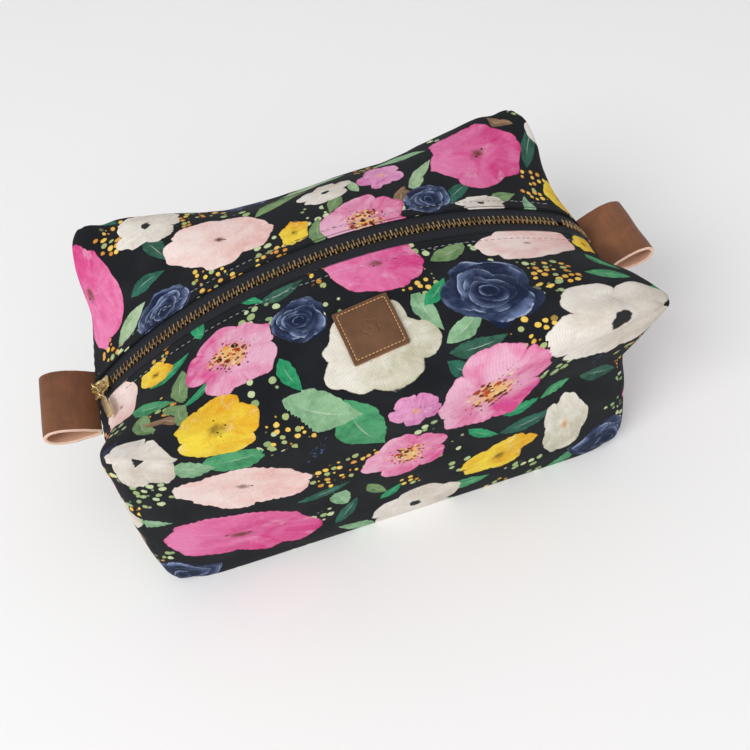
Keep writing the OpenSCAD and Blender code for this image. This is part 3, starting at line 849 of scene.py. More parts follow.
def paint_flower(net, uv, below):
    """A watercolour flower over the colour below."""
    x, y, squeeze, seed, size, _ = motif_frame(net, "flower_place", "flower_turn", uv)
    y = y / squeeze
    heart_share, stamens, rose = net.split(net.attribute("flower_kind"))
    ruffle = net.split(net.attribute("flower_ruffle"))[0]
    petal, shade = net.colour("flower_petal"), net.colour("flower_shade")
    heart = net.colour("flower_heart")
    rho = net.hypot(x, y)
    theta = net.math("ARCTAN2", y, x)
    q = net.combine(x, y, seed)
    broad = net.noise(q, 1.5, 1.0) - 0.5
    fine = net.noise(q, 5.0, 2.0) - 0.5
    lobe = net.math("SQRT", abs(net.sin(theta * 2.5 + seed)))
    reach = 0.88 + (lobe - 0.55) * 0.26 * ruffle
    wander = broad * 0.5 + fine * 0.08
    edge = reach + wander - rho
    mask = net.step(edge, 0.0, 0.018) * net.step(size, 0.0, 0.5)
    # pigment: one side of the flower deeper, soft pools, faint streaks that run outward
    pools = net.noise(q, 1.9, 5.0, 0.55, 0.6)
    ray = net.combine(net.cos(theta) * 3.0, net.sin(theta) * 3.0, rho * 0.6 + seed)
    streaks = net.noise(ray, 2.6, 3.0, 0.6)
    tone = (pools - 0.5) * 2.2 + (streaks - 0.5) * 0.7
    tone = tone + x * 0.42
    gap = net.fade(lobe, 0.1, 0.45) * net.step(rho, 0.35, 0.95)
    tone = tone + gap * (ruffle * 0.4)
    tone = tone + net.fade(edge, 0.0, 0.05) * 0.2
    tone = net.math("ADD", tone, 0.42, clamp=True)
    colour = net.mix(tone, petal, shade)
    bloom = net.step(net.noise(net.vector("ADD", q, (9.0, 4.0, 0.0)), 2.6, 4.0, 0.6), 0.55, 0.72, (0.0, 0.35))
    colour = net.mix(bloom, colour, net.mix(0.6, petal, (0.95, 0.92, 0.91)))
    roses = paint_rose(net, q, rho, theta, seed, broad, petal, shade)
    colour = net.mix(rose, colour, roses)
    # heart: a dark smudge, or a burst of stamens
    rough_rho = rho / heart_share + fine * 1.3
    smudge = net.fade(rough_rho, 0.8, 1.0) * net.fade(stamens, 0.05, 0.15)
    smudge = smudge * (1.0 - rose)
    colour = net.mix(smudge * 0.97, colour, net.mix(pools * 0.4, heart, (0.005, 0.005, 0.006)))
    tint = net.fade(rough_rho, 0.1, 1.1) * net.step(stamens, 0.1, 0.2)
    tint = tint * net.fade(stamens, 0.5, 0.9)
    colour = net.mix(tint * net.step(pools, 0.3, 0.6, (0.5, 1.0)), colour, heart)
    colour = paint_stamens(net, q, rough_rho, stamens, colour)
    return net.mix(mask, below, colour)


def paint_leaves(net, uv, layer, below):
    """Leaves, clusters and sprigs of one layer over the colour below."""
    x, y, width, seed, size, centre = motif_frame(net, "leaf_place_" + layer, "leaf_turn_" + layer, uv)
    there = net.step(size, 0.0, 0.5)
    form = net.split(net.attribute("leaf_form_" + layer))[0]
    light, dark = net.colour("leaf_light_" + layer), net.colour("leaf_dark_" + layer)
    q = net.combine(x, y, seed)
    is_leaf = net.fade(form, 0.3, 0.6)
    is_sprig = net.step(form, 1.3, 1.6)
    is_cluster = net.step(form, 0.3, 0.6) * (1.0 - is_sprig)
    wobble = net.noise(q, 3.0, 2.0) - 0.5
    bowed = y + x * x * 0.12
    swell = (1.0 - x * x) * (1.05 - x * 0.35)
    rim = swell * width * (1.0 + wobble * 0.5) - abs(bowed)
    leaf = net.step(rim, 0.0, 0.025) * net.step(abs(x), 1.0, 0.98) * is_leaf
    wash = net.noise(q, 2.6, 4.0, 0.6)
    half = net.step(bowed, -0.02, 0.02, (0.0, 0.22))
    veins = net.sin((x - abs(bowed) * 0.9) * 26.0)
    tone = net.math("ADD", (wash - 0.42) * 2.2 + half, veins * 0.05, clamp=True)
    colour = net.mix(tone, light, dark)
    rib = net.fade(abs(bowed), 0.0, 0.03)
    rib = rib * net.step(abs(x), 0.6, 0.1)
    colour = net.mix(rib * 0.45, colour, (0.75, 0.82, 0.68))
    out = net.mix(leaf, below, colour)
    # a cluster: whole dots, kept only where the dot's own middle lies inside the cluster
    far, pick, spot = net.cells(uv, net.step(form, 1.05, 1.15, (1 / 3.3, 1 / 4.4)), spread=0.6)
    su, sv, _ = net.split(spot)
    ru, rv = (su - centre[0], sv - centre[1])
    reach = net.hypot(ru, rv) / size
    kept = net.step(reach, 0.98, 0.94) * net.step(pick, 0.04, 0.06)
    dot = net.step(0.37 + pick * 0.1 - far, 0.0, 0.05) * kept
    fruit = net.mix(net.step(net.math("FRACT", pick * 7.0), 0.3, 0.8), light, dark)
    fruit = net.mix(net.step(far, 0.25, 0.05, (0.0, 0.35)), fruit, (0.95, 0.88, 0.62))
    fruit = net.mix(net.step(pick, 0.8, 0.82) * 0.9, fruit, rgb("#a9c07f"))
    out = net.mix(dot * is_cluster, out, fruit)
    far, pick, _ = net.cells(net.combine(x, y * 2.2, seed), 5.5, spread=0.7)
    spike = (1.0 - abs(x)) * 0.26 - abs(y)
    bud = net.step(far, 0.42, 0.34) * net.step(spike, 0.0, 0.03) * is_sprig
    out = net.mix(bud, out, net.mix(pick, rgb("#2c3f6b"), rgb("#55689a")))
    return net.mix(there, below, out)


def canvas_material():
    net = Net("printed_canvas", Roughness=0.85, Specular_IOR_Level=0.15, Sheen_Weight=0.02)
    uv = net.cloth()
    u, v, _ = net.split(uv)
    ground = net.mix(net.step(net.noise(uv, 0.05, 3.0), 0.4, 0.7), rgb("#181a1e"), rgb("#1f2226"))
    colour = paint_leaves(net, uv, "a", paint_leaves(net, uv, "b", ground))
    colour = paint_flower(net, uv, colour)
    weave = plain_weave(net, u, v, 0.55)
    slub_u = net.noise(net.combine(u * 0.12, v * 1.7), 1.0, 2.0)
    slub_v = net.noise(net.combine(u * 1.7, v * 0.12), 1.0, 2.0)
    # the weave painted into the colour: thread tops lighter, the gaps between threads darker (painted shade),
    # with the slubs as the yarn's own uneven tone
    yarn_shade_and_slub = weave * 0.6 + (slub_u * 0.18 + slub_v * 0.18)
    colour = net.mix(1.0, colour, net.mix(yarn_shade_and_slub, (0.42, 0.42, 0.43), (1.42, 1.42, 1.41)), "MULTIPLY")
    fluff = net.step(net.noise(uv, 2.4, 3.0, 0.7), 0.60, 0.82, (0.0, 0.02))
    colour = net.mix(fluff, colour, (0.55, 0.56, 0.58))
    soft = net.bump(net.noise(uv, 0.10, 3.0, 0.55), 1.2, 0.25)
    threads = net.bump(weave + slub_u * 0.6, 0.16, 0.9, soft)
    return net.finish(colour, net.step(weave, 0.0, 1.0, (0.92, 0.78)), threads)


# ---------------------------------------------------------------- the other materials

def tape_material():
    """Black woven tape: fine ribs along it, crossed by a twill."""
    net = Net("zip_tape", Roughness=0.75, Specular_IOR_Level=0.2)
    u, v, _ = net.split(net.cloth())
    twill = abs(net.sin(u * (math.pi / 1.1) + v * (math.pi / 1.1)))
    rib = abs(net.sin(v * (math.pi / 0.8)))
    height = twill * 0.75 + rib * 0.25
    lint = net.noise(net.combine(u * 0.5, v * 2.5), 1.4, 3.0)
    # colour painted lighter on the rib and twill tops and darker in the grooves between them (painted shade);
    # the lint noise varies its strength
    colour = net.mix(height * (0.4 + lint), rgb("#040406"), rgb("#2b2d34"))
    return net.finish(colour, net.step(height, 0.0, 1.0, (0.8, 0.6)), net.bump(height, 0.18, 0.8))


def lining_material():
    net = Net("lining_cotton", Roughness=0.85)
    uv = net.cloth()
    u, v, _ = net.split(uv)
    weave = plain_weave(net, u, v, 0.45)
    # thread tops painted lighter and the gaps between threads darker: painted shade
    colour = net.mix(weave * 0.7, rgb("#b9ad9b"), rgb("#ded5c6"))
    return net.finish(colour, net.step(net.noise(uv, 0.4), 0.2, 0.8, (0.8, 0.92)), net.bump(weave, 0.08, 0.6))


def filling_material():
    net = Net("fleece_filling", Roughness=0.95)
    fibres = net.noise(net.place(), 0.9, 5.0, 0.7, 1.5)
    colour = net.mix(fibres, rgb("#d9d5ca"), rgb("#f6f4ee"))
    return net.finish(colour, net.step(fibres, 0.2, 0.8, (0.9, 1.0)), net.bump(fibres, 0.5, 0.9))


def metal_material(name, low, high, dull, shine):
    """Plated metal: brushed, its colour and shine varying in soft blotches and fine scratches."""
    net = Net(name, Metallic=1.0, Roughness=0.3)
    at = net.place()
    blotch = net.noise(at, 0.35, 4.0, 0.6)
    scratch = net.noise(net.vector("MULTIPLY", at, (0.6, 6.0, 6.0)), 1.5, 3.0)
    tint = blotch * 0.7 + scratch * 0.3
    colour = net.mix(net.step(tint, 0.35, 0.65), rgb(low), rgb(high))
    return net.finish(colour, net.step(tint, 0.3, 0.7, (dull, shine)), net.bump(scratch, 0.02, 0.4))


def thread_material(name, low, high):
    """Twisted thread: a fine slanting ply."""
    net = Net(name, Roughness=0.6, Sheen_Weight=0.15)
    x, y, z = net.split(net.place())
    ply = abs(net.sin((x + (y * 1.6 + z)) * (math.pi / 0.5)))
    # ply crowns painted lighter and the grooves between plies darker: painted shade
    colour = net.mix(ply, rgb(low), rgb(high))
    return net.finish(colour, net.step(ply, 0.0, 1.0, (0.75, 0.5)), net.bump(ply, 0.08, 0.8))


def leather_material(name, dark, mid, light, grain_size, wear):
    """Smooth leather: tight grain, soft mottling, fine scuffs and pores."""
    net = Net(name, Roughness=0.5, Specular_IOR_Level=0.4)
    at = net.place()
    mottle = net.noise(at, 0.07, 4.0, 0.55, 0.4)
    streak = net.noise(net.vector("MULTIPLY", at, (0.5, 0.05, 0.5)), 1.0, 5.0, 0.6)
    tone = mottle * 0.7 + streak * 0.3
    colour = net.ramp(tone, [(0.3, rgb(dark)), (0.68, rgb(light)), (0.5, rgb(mid))])
    cell = net.cell_edges(at, 1.0 / grain_size)
    pore = net.fade(cell, 0.0, 0.12)
    scratch = net.noise(net.vector("MULTIPLY", at, (1.6, 0.12, 1.6)), 0.9, 5.0, 0.7)
    scuff = net.step(scratch, 0.58, 0.75, (0.0, wear))
    colour = net.mix(pore * 0.22, colour, rgb(dark))
    colour = net.mix(scuff, colour, rgb(light))
    rough = net.step(tone + pore * 0.3, 0.3, 0.9, (0.42, 0.62))
    grain = net.step(cell, 0.0, 0.2) * 0.6 + net.noise(at, 2.2, 3.0) * 0.5
    wide = net.bump(net.noise(at, 0.16, 3.0), 0.7, 0.3)
    return net.finish(colour, rough, net.bump(grain, 0.06, 0.7, wide))


def raw_leather_material(name, low, high):
    """The cut or flesh side of leather: pale, fibrous and matt."""
    net = Net(name, Roughness=0.85)
    fibre = net.noise(net.vector("MULTIPLY", net.place(), (1.0, 3.0, 1.0)), 1.6, 5.0, 0.7)
    colour = net.mix(net.step(fibre, 0.3, 0.7), rgb(low), rgb(high))
    return net.finish(colour, net.step(fibre, 0.3, 0.7, (0.9, 0.78)), net.bump(fibre, 0.15, 0.8))


def floor_material():
    net = Net("pale_table", Roughness=0.6, Specular_IOR_Level=0.25)
    return net.finish(net.mix(net.noise(net.place(), 0.004, 3.0), (0.84, 0.84, 0.84), (0.87, 0.87, 0.865)))


# ---------------------------------------------------------------- the fabric pieces

# sizes of the quads, and how far under the canvas each layer's two sides lie
STEP_CANVAS, STEP_LAYER = 1.05, 3.0
FILLING_DEPTHS, LINING_DEPTHS = (2.3, 3.5), (3.6, 4.0)
THREAD_R = 0.17


def build_canvas(side, name, node, flowers, leaves, seed, material):
    shell = Shell(make_patches(side, STEP_CANVAS), side)
    sag(shell)
    sew(shell)
    fold_edge(shell)
    obj = add_mesh(name, shell.points, shell.quads, [material], loops=shell.cloth)
    print_cloth(obj, shell.cloth.mean(1), flowers, leaves, seed)
    place(obj, "bag", node)
    return shell


def build_layer(side, name, node, depths, material):
    """Filling or lining: a closed layer under the canvas, which follows its swells."""
    shell = Shell(make_patches(side, STEP_LAYER), side)
    sag(shell)
    points, faces = thicken(shell, *depths)
    walls = np.zeros((len(faces) - 2 * len(shell.cloth), 4, 2))
    loops = np.concatenate([shell.cloth, shell.cloth[:, ::-1], walls])
    obj = add_mesh(name, points, faces, [material], loops=loops)
    place(obj, "bag", node)
    return obj


def build_topstitch(shell, name, node, material):
    """Thread stitches laid in the groove beside the zip, on the canvas as it really lies."""
    strip = shell.grids[0]
    points = shell.points[strip]
    row = int(np.argmin(np.abs(shell.at[strip[0], 1] - STITCH_SHARE)))
    line, above, beyond = points[:, row], points[:, row - 2], points[:, row + 2]
    parts = Parts()
    reach = 0.97 * HALF_LENGTH
    for x in np.arange(-reach, reach, STITCH_PITCH):
        k = int(np.clip(np.searchsorted(line[:, 0], x), 2, len(line) - 3))
        along = line[k + 2] - line[k - 2]
        out = np.cross(along, beyond[k] - above[k])
        out = out if out[2] > 0 else -out
        out = out / np.linalg.norm(out)
        parts.add(*stitch(STITCH_L, THREAD_R), frame_of(line[k] + out * 0.16, along, out))
    place(parts.build(name, [material]), "bag", node)


# ---------------------------------------------------------------- the zip

def zip_path(step):
    """(matrix, length) stations along the whole zip line."""
    stations = []
    count = round(ZIP_R * (ZIP_RIGHT - ZIP_LEFT) / step)
    for k in range(count + 1):
        angle = mix(ZIP_LEFT, ZIP_RIGHT, k / count)
        stations.append((on_zip(angle), ZIP_R * angle))
    turn = round(SHOULDER_R * (SHOULDER_END - ZIP_RIGHT) / (0.6 * step))
    for k in range(1, turn + 1):
        angle = mix(ZIP_RIGHT, SHOULDER_END, k / turn)
        stations.append((on_shoulder(angle), ZIP_R * ZIP_RIGHT + SHOULDER_R * (angle - ZIP_RIGHT)))
    return stations


BEAD_Y, TAPE_W = 1.35, 13.0


def tape_profile():
    """Half a tape in Y and Z: a corded bead at the teeth, then a thin band, closed round its edges."""
    top = [(BEAD_Y + 0.45 - 0.45 * math.cos(a), 0.46 * math.sin(a)) for a in np.linspace(0, math.pi * 0.8, 7)]
    flat = [(y, 0.27 + 0.05 * math.cos(y * 2.1)) for y in np.linspace(2.6, BEAD_Y + TAPE_W - 0.2, 14)]
    upper = top + flat + [(BEAD_Y + TAPE_W, 0.12)]
    return upper + [(y, -z) for y, z in upper[::-1][:-1]]


def build_tape(side, name, node, material):
    profile = tape_profile()
    stations = zip_path(1.2)
    points, places = [], []
    round_length = np.concatenate([[0], np.cumsum(np.hypot(*np.diff(np.array(profile), axis=0).T))])
    for m, along in stations:
        points += [m @ Vector((0, side * y, z)) for y, z in profile]
        places += [(along, r) for r in round_length]
    n = len(profile)
    faces = ring_faces(len(stations), n)
    faces += [tuple(range(n))[::-1], tuple(range((len(stations) - 1) * n, len(stations) * n))]
    if side == FRONT:
        faces = [f[::-1] for f in faces]
    loops = [places[i] for f in faces for i in f]
    place(add_mesh(name, points, faces, [material], loops=loops), "bag", node)


TOOTH_PITCH, SHOULDER_TEETH = 2.54, 9
FIRST_TOOTH = math.radians(-38.3)


def tooth_mesh():
    """One tooth seen from above: a flared foot on the bead, a waist, and a round head past the middle."""
    right = [(0.36, -2.75), (0.42, -2.2), (0.40, -1.5), (0.33, -0.9), (0.32, -0.5),
             (0.40, -0.05), (0.44, 0.35), (0.36, 0.70), (0.17, 0.88)]
    outline = right + [(-x, y) for x, y in right[::-1]]
    return plate(outline, -1.2, 1.2, 0.16, 2)


def build_teeth(side, name, node, material):
    points, faces = tooth_mesh()
    points = np.array(points)
    head = np.clip((points[:, 1] + 0.9) / 1.2, 0, 1)
    points[:, 2] *= 1 - 0.30 * head
    if side == BACK:
        points = points * (1, -1, 1)
        faces = [f[::-1] for f in faces]
    parts = Parts()
    shift = 0.5 if side == FRONT else 0.0
    step = TOOTH_PITCH / ZIP_R
    for k in range(int((ZIP_RIGHT - FIRST_TOOTH) / step)):
        parts.add(points, faces, on_zip(FIRST_TOOTH + (k + shift) * step))
    for k in range(SHOULDER_TEETH):
        parts.add(points, faces, on_shoulder(ZIP_RIGHT + (k + 0.6 + shift) * TOOTH_PITCH / SHOULDER_R))
    place(parts.build(name, [material], CREASE), "bag", node)


SLIDER_ANGLE = math.radians(-38.1)
STRAP_Z = 5.45
PULL_YAW = math.radians(24)
LINK_DROP, BAR_DROP = math.radians(5), math.radians(-7)
LINK_L, BAR_L = 8.0, 20.0
EYE_R = 1.6
WING_T, WING_LOW, WING_HIGH = 1.1, -2.6, 1.5


def arc(cx, cy, radius, start, end, count):
    """Points of an arc in X and Y, its angles in degrees."""
    turn = np.radians(np.linspace(start, end, count))
    return list(zip(cx + radius * np.cos(turn), cy + radius * np.sin(turn)))


def wing_outline():
    """The slider's wing from above: two round lobes at the nose (-X), narrowing to a blunt tail (+X)."""
    half = [(-5.0, 0.0)] + arc(-4.3, 2.4, 1.9, 215, 90, 12)
    half += [(-2.6, 4.3), (-0.8, 4.2), (1.2, 3.9), (3.2, 3.65)] + arc(5.3, 2.6, 1.0, 90, 0, 7)
    return half[::-1] + [(x, -y) for x, y in half[1:]]


def build_slider(metal):
    here = on_zip(SLIDER_ANGLE)
    body = Parts()
    for low in (WING_HIGH, WING_LOW):
        body.add(*plate(wing_outline(), low, low + WING_T, 0.32, 3), here)
    for side in (-1, 1):
        lip = [(-5.0, side * 3.9), (4.4, side * 3.6), (4.4, side * 3.05), (-5.0, side * 3.3)][::side]
        for low, high in ((0.7, 1.7), (-1.7, -0.7)):
            body.add(*plate(lip, low, high, 0.12), here)
    body.add(*plate(arc(-4.0, 0, 1.05, 0, 360, 25)[:-1], -1.6, 1.6, 0.05, 1), here)
    place(body.build("slider_body_brass", [metal], CREASE), "slider", "slider_body")


def build_strap(metal):
    """The arched strap over the slider that holds the pull, swept with a rounded square section."""
    path = [(-4.05, 2.3), (-4.1, 3.6), (-3.95, 4.6), (-3.3, 5.25), (-2.2, STRAP_Z)]
    path += [(x, STRAP_Z) for x in (-1.0, 0.0, 1.0)] + [(-x, z) for x, z in path[::-1]]
    turn = np.linspace(0, 2 * math.pi, 21)[:-1]
    c, s = np.cos(turn), np.sin(turn)
    section = list(zip(0.75 * np.copysign(np.abs(c) ** 0.5, c), 0.44 * np.copysign(np.abs(s) ** 0.6, s)))
    rings = []
    for k, (x, z) in enumerate(path):
        before, after = path[max(0, k - 1)], path[min(len(path) - 1, k + 1)]
        dx, dz = after[0] - before[0], after[1] - before[1]
        size = math.hypot(dx, dz)
        rings += [(x - dz / size * h, w, z + dx / size * h) for w, h in section]
    faces = [(a, d, c, b) for a, b, c, d in ring_faces(len(path), len(section))]
    strap = add_mesh("slider_strap_brass", moved(rings, on_zip(SLIDER_ANGLE)), faces, [metal])
    place(strap, "slider", "slider_bridge")


def circle(radius, y, count=40):
    turn = np.arange(count) * 2 * np.pi / count
    return np.stack([0 * turn, y + radius * np.cos(turn), radius * np.sin(turn)], -1)


def build_link_and_bar(metal):
    strap = on_zip(SLIDER_ANGLE) @ Matrix.Translation((0, 0, STRAP_Z)) @ Matrix.Rotation(PULL_YAW, 4, "Z")
    held = strap @ Matrix.Rotation(LINK_DROP, 4, "X")
    link = Parts()
    for y in (0.0, -LINK_L):
        link.add(*tube(circle(EYE_R, y), 0.45, 14, closed=True), held)
    ys = np.linspace(-EYE_R, -LINK_L + EYE_R, 13)
    waist = 0.72 - 0.16 * np.cos((ys + LINK_L / 2) / (LINK_L / 2 - EYE_R) * math.pi / 2)
    link.add(*tube(np.stack([0 * ys, ys, 0 * ys], -1), waist, 16), held)
    place(link.build("pull_link_brass", [metal]), "link", "pull_link")

    hang = held @ Matrix.Translation((0, -LINK_L, 0)) @ Matrix.Rotation(BAR_DROP - LINK_DROP, 4, "X")
    hang = hang @ Matrix.Translation((0, -EYE_R, 0))
    head = arc(0, 0, 1.65, -38, 218, 26)
    neck = [(-1.15, -1.6), (-1.25, -2.4), (-1.75, -3.6), (-2.1, -5.2)]
    tip = [(2.15 * x, -BAR_L + 2.3 + 2.2 * y) for x, y in arc(0, 0, 1, 180, 360, 17)]
    outline = head + neck + tip + [(-x, y) for x, y in neck[::-1]]
    points, faces = plate(outline, -0.55, 0.55, 0.22, 3, holes=(arc(0, 0, 0.95, 360, 0, 25)[:-1],))
    bar = add_mesh("pull_bar_brass", moved(points, hang), faces, [metal], CREASE)
    place(bar, "bar", "pull_bar")


# ---------------------------------------------------------------- the leather

TAB_L, TAB_W, TAB_T, TAB_GAP = 26.0, 37.0, 1.8, 8.0
TAB_TILT_LEFT, TAB_TILT_RIGHT = math.radians(16), math.radians(12)
TAB_DROP, TAB_EDGE_R = 3.8, 0.45


def drop_point(t):
    x = (TAB_L - TAB_T) * (1 - np.cos(t)) / 2
    return np.stack([x, 0.65 * TAB_GAP * np.sin(t) * np.sin(t / 2) ** 1.2], -1)


def build_tab(end, name, node, materials):
    """A strip folded into a teardrop, its rounded raw edges showing at both sides."""
    turns = np.radians(np.linspace(8, 352, 110))
    line = drop_point(turns)
    ahead = drop_point(turns + 0.01) - drop_point(turns - 0.01)
    out = np.stack([-ahead[:, 1], ahead[:, 0]], -1)
    out /= np.linalg.norm(out, axis=1, keepdims=True)
    half, middle = TAB_W / 2 - TAB_EDGE_R, TAB_T / 2
    flat = np.linspace(-half, half, 22)
    # each point's place across the strip, its height, and whether it is face, flesh or cut edge
    section = [(y, TAB_T, 0) for y in flat]
    for side, line_back in ((1, flat[::-1]), (-1, [])):
        section += [(side * (half + TAB_EDGE_R * math.cos(a)), middle + side * (middle - 0.02) * math.sin(a),
                     2) for a in np.radians([70, 40, 15, -15, -40, -70])]
        section += [(y, 0.0, 1) for y in line_back]
    n = len(section)
    points = []
    for k, (p, o) in enumerate(zip(line, out)):
        for y, h, _ in section:
            ragged = 0.22 * noise.noise(Vector((k * 0.16, math.copysign(3, y), 0.3)))
            ragged *= abs(y) > TAB_W / 2 - 1
            bowl = 0.5 * noise.noise(Vector((k * 0.05, y * 0.07, end * 2.0)))
            q = p + o * (h + bowl * math.sin(turns[k] / 2) ** 2)
            points.append((q[0], y + ragged, q[1]))
    faces = [(a, d, c, b) for a, b, c, d in ring_faces(len(line), n)]
    kinds = [section[j][2] if section[j][2] == section[(j + 1) % n][2] else 2 for j in range(n)]
    root_x = ZIP_RIGHT_X if end > 0 else ZIP_LEFT_X
    root = (root_x + 1.2 * end, 0, float(zip_z(root_x)) - TAB_DROP)
    turn = Matrix.Rotation(-(TAB_TILT_RIGHT if end > 0 else TAB_TILT_LEFT), 4, "Y")
    if end < 0:
        turn = Matrix.Scale(-1, 4, (1, 0, 0)) @ turn
    if end > 0:
        faces = [f[::-1] for f in faces]
    obj = add_mesh(name, moved(points, Matrix.Translation(root) @ turn), faces, materials)
    obj.data.polygons.foreach_set("material_index", kinds * (len(line) - 1))
    place(obj, "bag", node)


LABEL_W, LABEL_T = 25.4, 1.5
LABEL_AT = (0.015, 0.62)
LABEL_TURN = math.radians(6)
LABEL_INSET = LABEL_W / 2 - 1.7
LABEL_STITCHES = 13
LABEL_CORNER, LABEL_ROLL, LABEL_GAP = 0.8, 0.35, 0.12
LABEL_CELLS = 112


def label_matrix():
    x, y = LABEL_AT
    low, high = skin(x, -y - 0.12, 1.0), skin(x, -y + 0.12, 1.0)
    tilt = math.atan2(high[2] - low[2], high[1] - low[1])
    lie = Matrix.Rotation(tilt, 4, "X") @ Matrix.Rotation(LABEL_TURN, 4, "Z")
    return Matrix.Translation(skin(x, -y, 1.0)) @ lie


def label_bed(canvas, matrix):
    """Height of the canvas under each place of the label, as a function of its own x and y."""
    local = moved(canvas.points, matrix.inverted())
    near = local[(np.abs(local[:, 0]) < 16) & (np.abs(local[:, 1]) < 16) & (np.abs(local[:, 2]) < 8)]

    def terms(x, y):
        return np.stack([np.ones_like(x), x, y, x * y, x * x, y * y, x ** 3, y ** 3])

    fit = np.linalg.lstsq(terms(near[:, 0], near[:, 1]).T, near[:, 2], rcond=None)[0]
    return lambda x, y: fit @ terms(x, y)


def build_label(canvas, leather, edge, thread):
    """A square of leather sewn round its edge, with a small pressed blossom."""
    m = label_matrix()
    bed = label_bed(canvas, m)
    half, n = LABEL_W / 2, LABEL_CELLS
    flat = half - LABEL_CORNER
    s = np.linspace(-1, 1, n + 1)
    gx, gy = np.meshgrid(s * half, s * half, indexing="ij")
    # round the four corners by drawing the grid in
    cx, cy = np.maximum(np.abs(gx) - flat, 0), np.maximum(np.abs(gy) - flat, 0)
    stretch = np.maximum(cx, cy) / np.maximum(np.hypot(cx, cy), 1e-6)
    gx = np.where(cx * cy > 0, np.sign(gx) * (flat + cx * stretch), gx)
    gy = np.where(cx * cy > 0, np.sign(gy) * (flat + cy * stretch), gy)
    out = np.maximum(np.abs(gx), np.abs(gy))
    line = out - LABEL_INSET
    top = LABEL_T - LABEL_ROLL * np.clip(1 - (half - out) / LABEL_ROLL, 0, 1) ** 2 * 0.8
    top -= 0.28 * np.exp(-(line / 0.55) ** 2) * (np.minimum(np.abs(gx), np.abs(gy)) < LABEL_INSET + 1)
    rho, theta = np.hypot(gx, gy), np.arctan2(gy, gx)
    blossom = 3.9 * (0.72 + 0.28 * np.abs(np.sin(2.5 * theta)))
    top -= 0.24 * np.exp(-((rho - blossom) / 0.32) ** 2) + 0.26 * np.exp(-(rho / 0.9) ** 2)
    top += 0.08 * np.array([[noise.noise(Vector((a / 5, b / 5, 2))) for b in gy[0]] for a in gx[:, 0]])
    lie = bed(gx.reshape(-1), gy.reshape(-1)).reshape(gx.shape) + LABEL_GAP
    points = np.concatenate([np.stack([gx, gy, z], -1).reshape(-1, 3) for z in (lie + top, lie)])
    index = np.arange((n + 1) ** 2).reshape(n + 1, n + 1)
    quads = grid_quads(index)
    around = np.concatenate([index[:-1, 0], index[-1, :-1], index[:0:-1, -1], index[0, :0:-1]])
    after = np.roll(around, -1)
    walls = np.stack([around + index.size, after + index.size, after, around], -1)
    faces = np.concatenate([quads, quads[:, ::-1] + index.size, walls])
    obj = add_mesh("leather_label", moved(points, m), faces, [leather, edge])
    obj.data.polygons.foreach_set("material_index", [0] * len(quads) + [1] * (len(quads) + len(walls)))
    place(obj, "bag", "label_patch")

    parts = Parts()
    pitch = 2 * LABEL_INSET / LABEL_STITCHES
    for quarter in range(4):
        spin = Matrix.Rotation(quarter * math.pi / 2, 4, "Z")
        for k in range(LABEL_STITCHES):
            spot = spin @ Vector((-LABEL_INSET + (k + 0.5) * pitch, LABEL_INSET, 0))
            height = float(bed(np.array([spot.x]), np.array([spot.y]))[0]) + LABEL_T + 0.02
            lie = m @ Matrix.Translation((spot.x, spot.y, height)) @ spin @ Matrix.Rotation(0.06, 4, "Z")
            parts.add(*stitch(0.70 * pitch, 0.24, 0.3), lie)
    place(parts.build("label_thread", [thread]), "bag", "label_stitching")


# ---------------------------------------------------------------- the studio

CAMERA_AT = (-35.6, -261.3, 381.9)
CAMERA_AZIMUTH, CAMERA_ELEVATION, CAMERA_ROLL = (math.radians(a) for a in (-9.5, 53.6, -9.4))
CAMERA_LENS, SENSOR_WIDTH = 39.0, 36
FLOOR_HALF, FLOOR_CELLS = 2500, 24
SKY_COLOUR, SKY_STRENGTH = (0.965, 0.965, 0.985, 1), 0.67


def build_camera():
    a, e, r = CAMERA_AZIMUTH, CAMERA_ELEVATION, CAMERA_ROLL
    back = Vector((math.sin(a) * math.cos(e), -math.cos(a) * math.cos(e), math.sin(e)))
    right = Vector((math.cos(a), math.sin(a), 0))
    up = back.cross(right)
    rolled_right = right * math.cos(r) + up * math.sin(r)
    rolled_up = up * math.cos(r) - right * math.sin(r)
    turn = Matrix((rolled_right, rolled_up, back)).transposed().to_4x4()
    data = bpy.data.cameras.new("camera")
    data.lens = CAMERA_LENS
    data.sensor_width = SENSOR_WIDTH
    data.clip_start = 0.01
    camera = bpy.data.objects.new("camera", data)
    camera.matrix_world = Matrix.Translation(Vector(CAMERA_AT) * MM) @ turn
    bpy.context.scene.collection.objects.link(camera)
    bpy.context.scene.camera = camera


def add_light(name, at, size, power, colour):
    data = bpy.data.lights.new(name, "AREA")
    data.shape = "DISK"
    data.size = size
    data.energy = power
    data.color = colour
    light = bpy.data.objects.new(name, data)
    light.location = at
    light.rotation_euler = Vector(at).to_track_quat("Z", "Y").to_euler()
    bpy.context.scene.collection.objects.link(light)


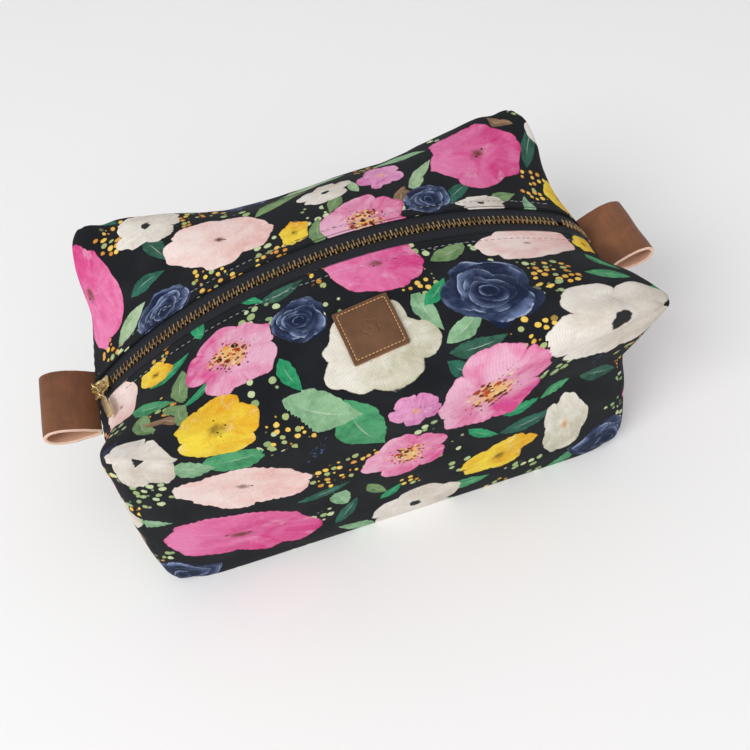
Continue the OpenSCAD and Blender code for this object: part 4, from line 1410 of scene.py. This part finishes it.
def build_studio():
    s = np.linspace(-FLOOR_HALF, FLOOR_HALF, FLOOR_CELLS + 1)
    gx, gy = np.meshgrid(s, s, indexing="ij")
    quads = grid_quads(np.arange(gx.size).reshape(gx.shape))
    floor = add_mesh("floor", np.stack([gx, gy, 0 * gx], -1).reshape(-1, 3), quads, [floor_material()])
    world = bpy.data.worlds.new("studio")
    world.use_nodes = True
    sky = world.node_tree.nodes["Background"]
    sky.inputs["Color"].default_value, sky.inputs["Strength"].default_value = SKY_COLOUR, SKY_STRENGTH
    bpy.context.scene.world = world
    add_light("window", (-1.5, -1.0, 1.7), 1.5, 34.0, (1.0, 0.99, 0.97))
    add_light("fill", (0.5, -1.5, 1.1), 1.4, 5.0, (1.0, 0.98, 0.96))
    bpy.context.scene.view_settings.view_transform = "Standard"


def main():
    canvas = canvas_material()
    tape, lining, filling = tape_material(), lining_material(), filling_material()
    teeth = metal_material("antique_brass", "#7a6040", "#c9ab7c", 0.42, 0.25)
    gold = metal_material("pale_gold", "#c7ac70", "#e9d6a4", 0.34, 0.2)
    grey_thread = thread_material("seam_thread", "#66676e", "#a9a9af")
    tan_thread = thread_material("tan_thread", "#b57f45", "#dcaa6c")
    tab = [leather_material("tab_leather", "#633c23", "#76492d", "#875636", 0.7, 0.2),
           raw_leather_material("tab_flesh", "#b98a6c", "#d9b195"),
           raw_leather_material("tab_edge", "#d0a68c", "#efd6c4")]
    label = leather_material("label_leather", "#54351e", "#5f3e25", "#6b482c", 0.6, 0.08)
    label_edge = raw_leather_material("label_edge", "#8a5a38", "#b07c55")
    sides = ((FRONT, "front", FRONT_FLOWERS, FRONT_LEAVES, 11),
             (BACK, "back", BACK_FLOWERS, BACK_LEAVES, 23))
    for side, word, flowers, leaves, seed in sides:
        shell = build_canvas(side, f"canvas_{word}", f"outer_{word}_panel", flowers, leaves, seed, canvas)
        pad = build_layer(side, f"filling_{word}", f"interlining_{word}", FILLING_DEPTHS, filling)
        build_layer(side, f"lining_{word}", f"lining_{word}_panel", LINING_DEPTHS, lining)
        build_tape(side, f"tape_{word}", f"zip_tape_{word}", tape)
        build_teeth(side, f"teeth_{word}", f"zip_teeth_{word}", teeth)
        build_topstitch(shell, f"stitches_{word}", f"topstitch_{word}", grey_thread)
        if side == FRONT:
            build_label(shell, label, label_edge, tan_thread)
    build_slider(gold)
    build_strap(gold)
    build_link_and_bar(gold)
    build_tab(-1, "leather_loop_left", "tab_left", tab)
    build_tab(1, "leather_loop_right", "tab_right", tab)
    build_studio()
    build_camera()


main()
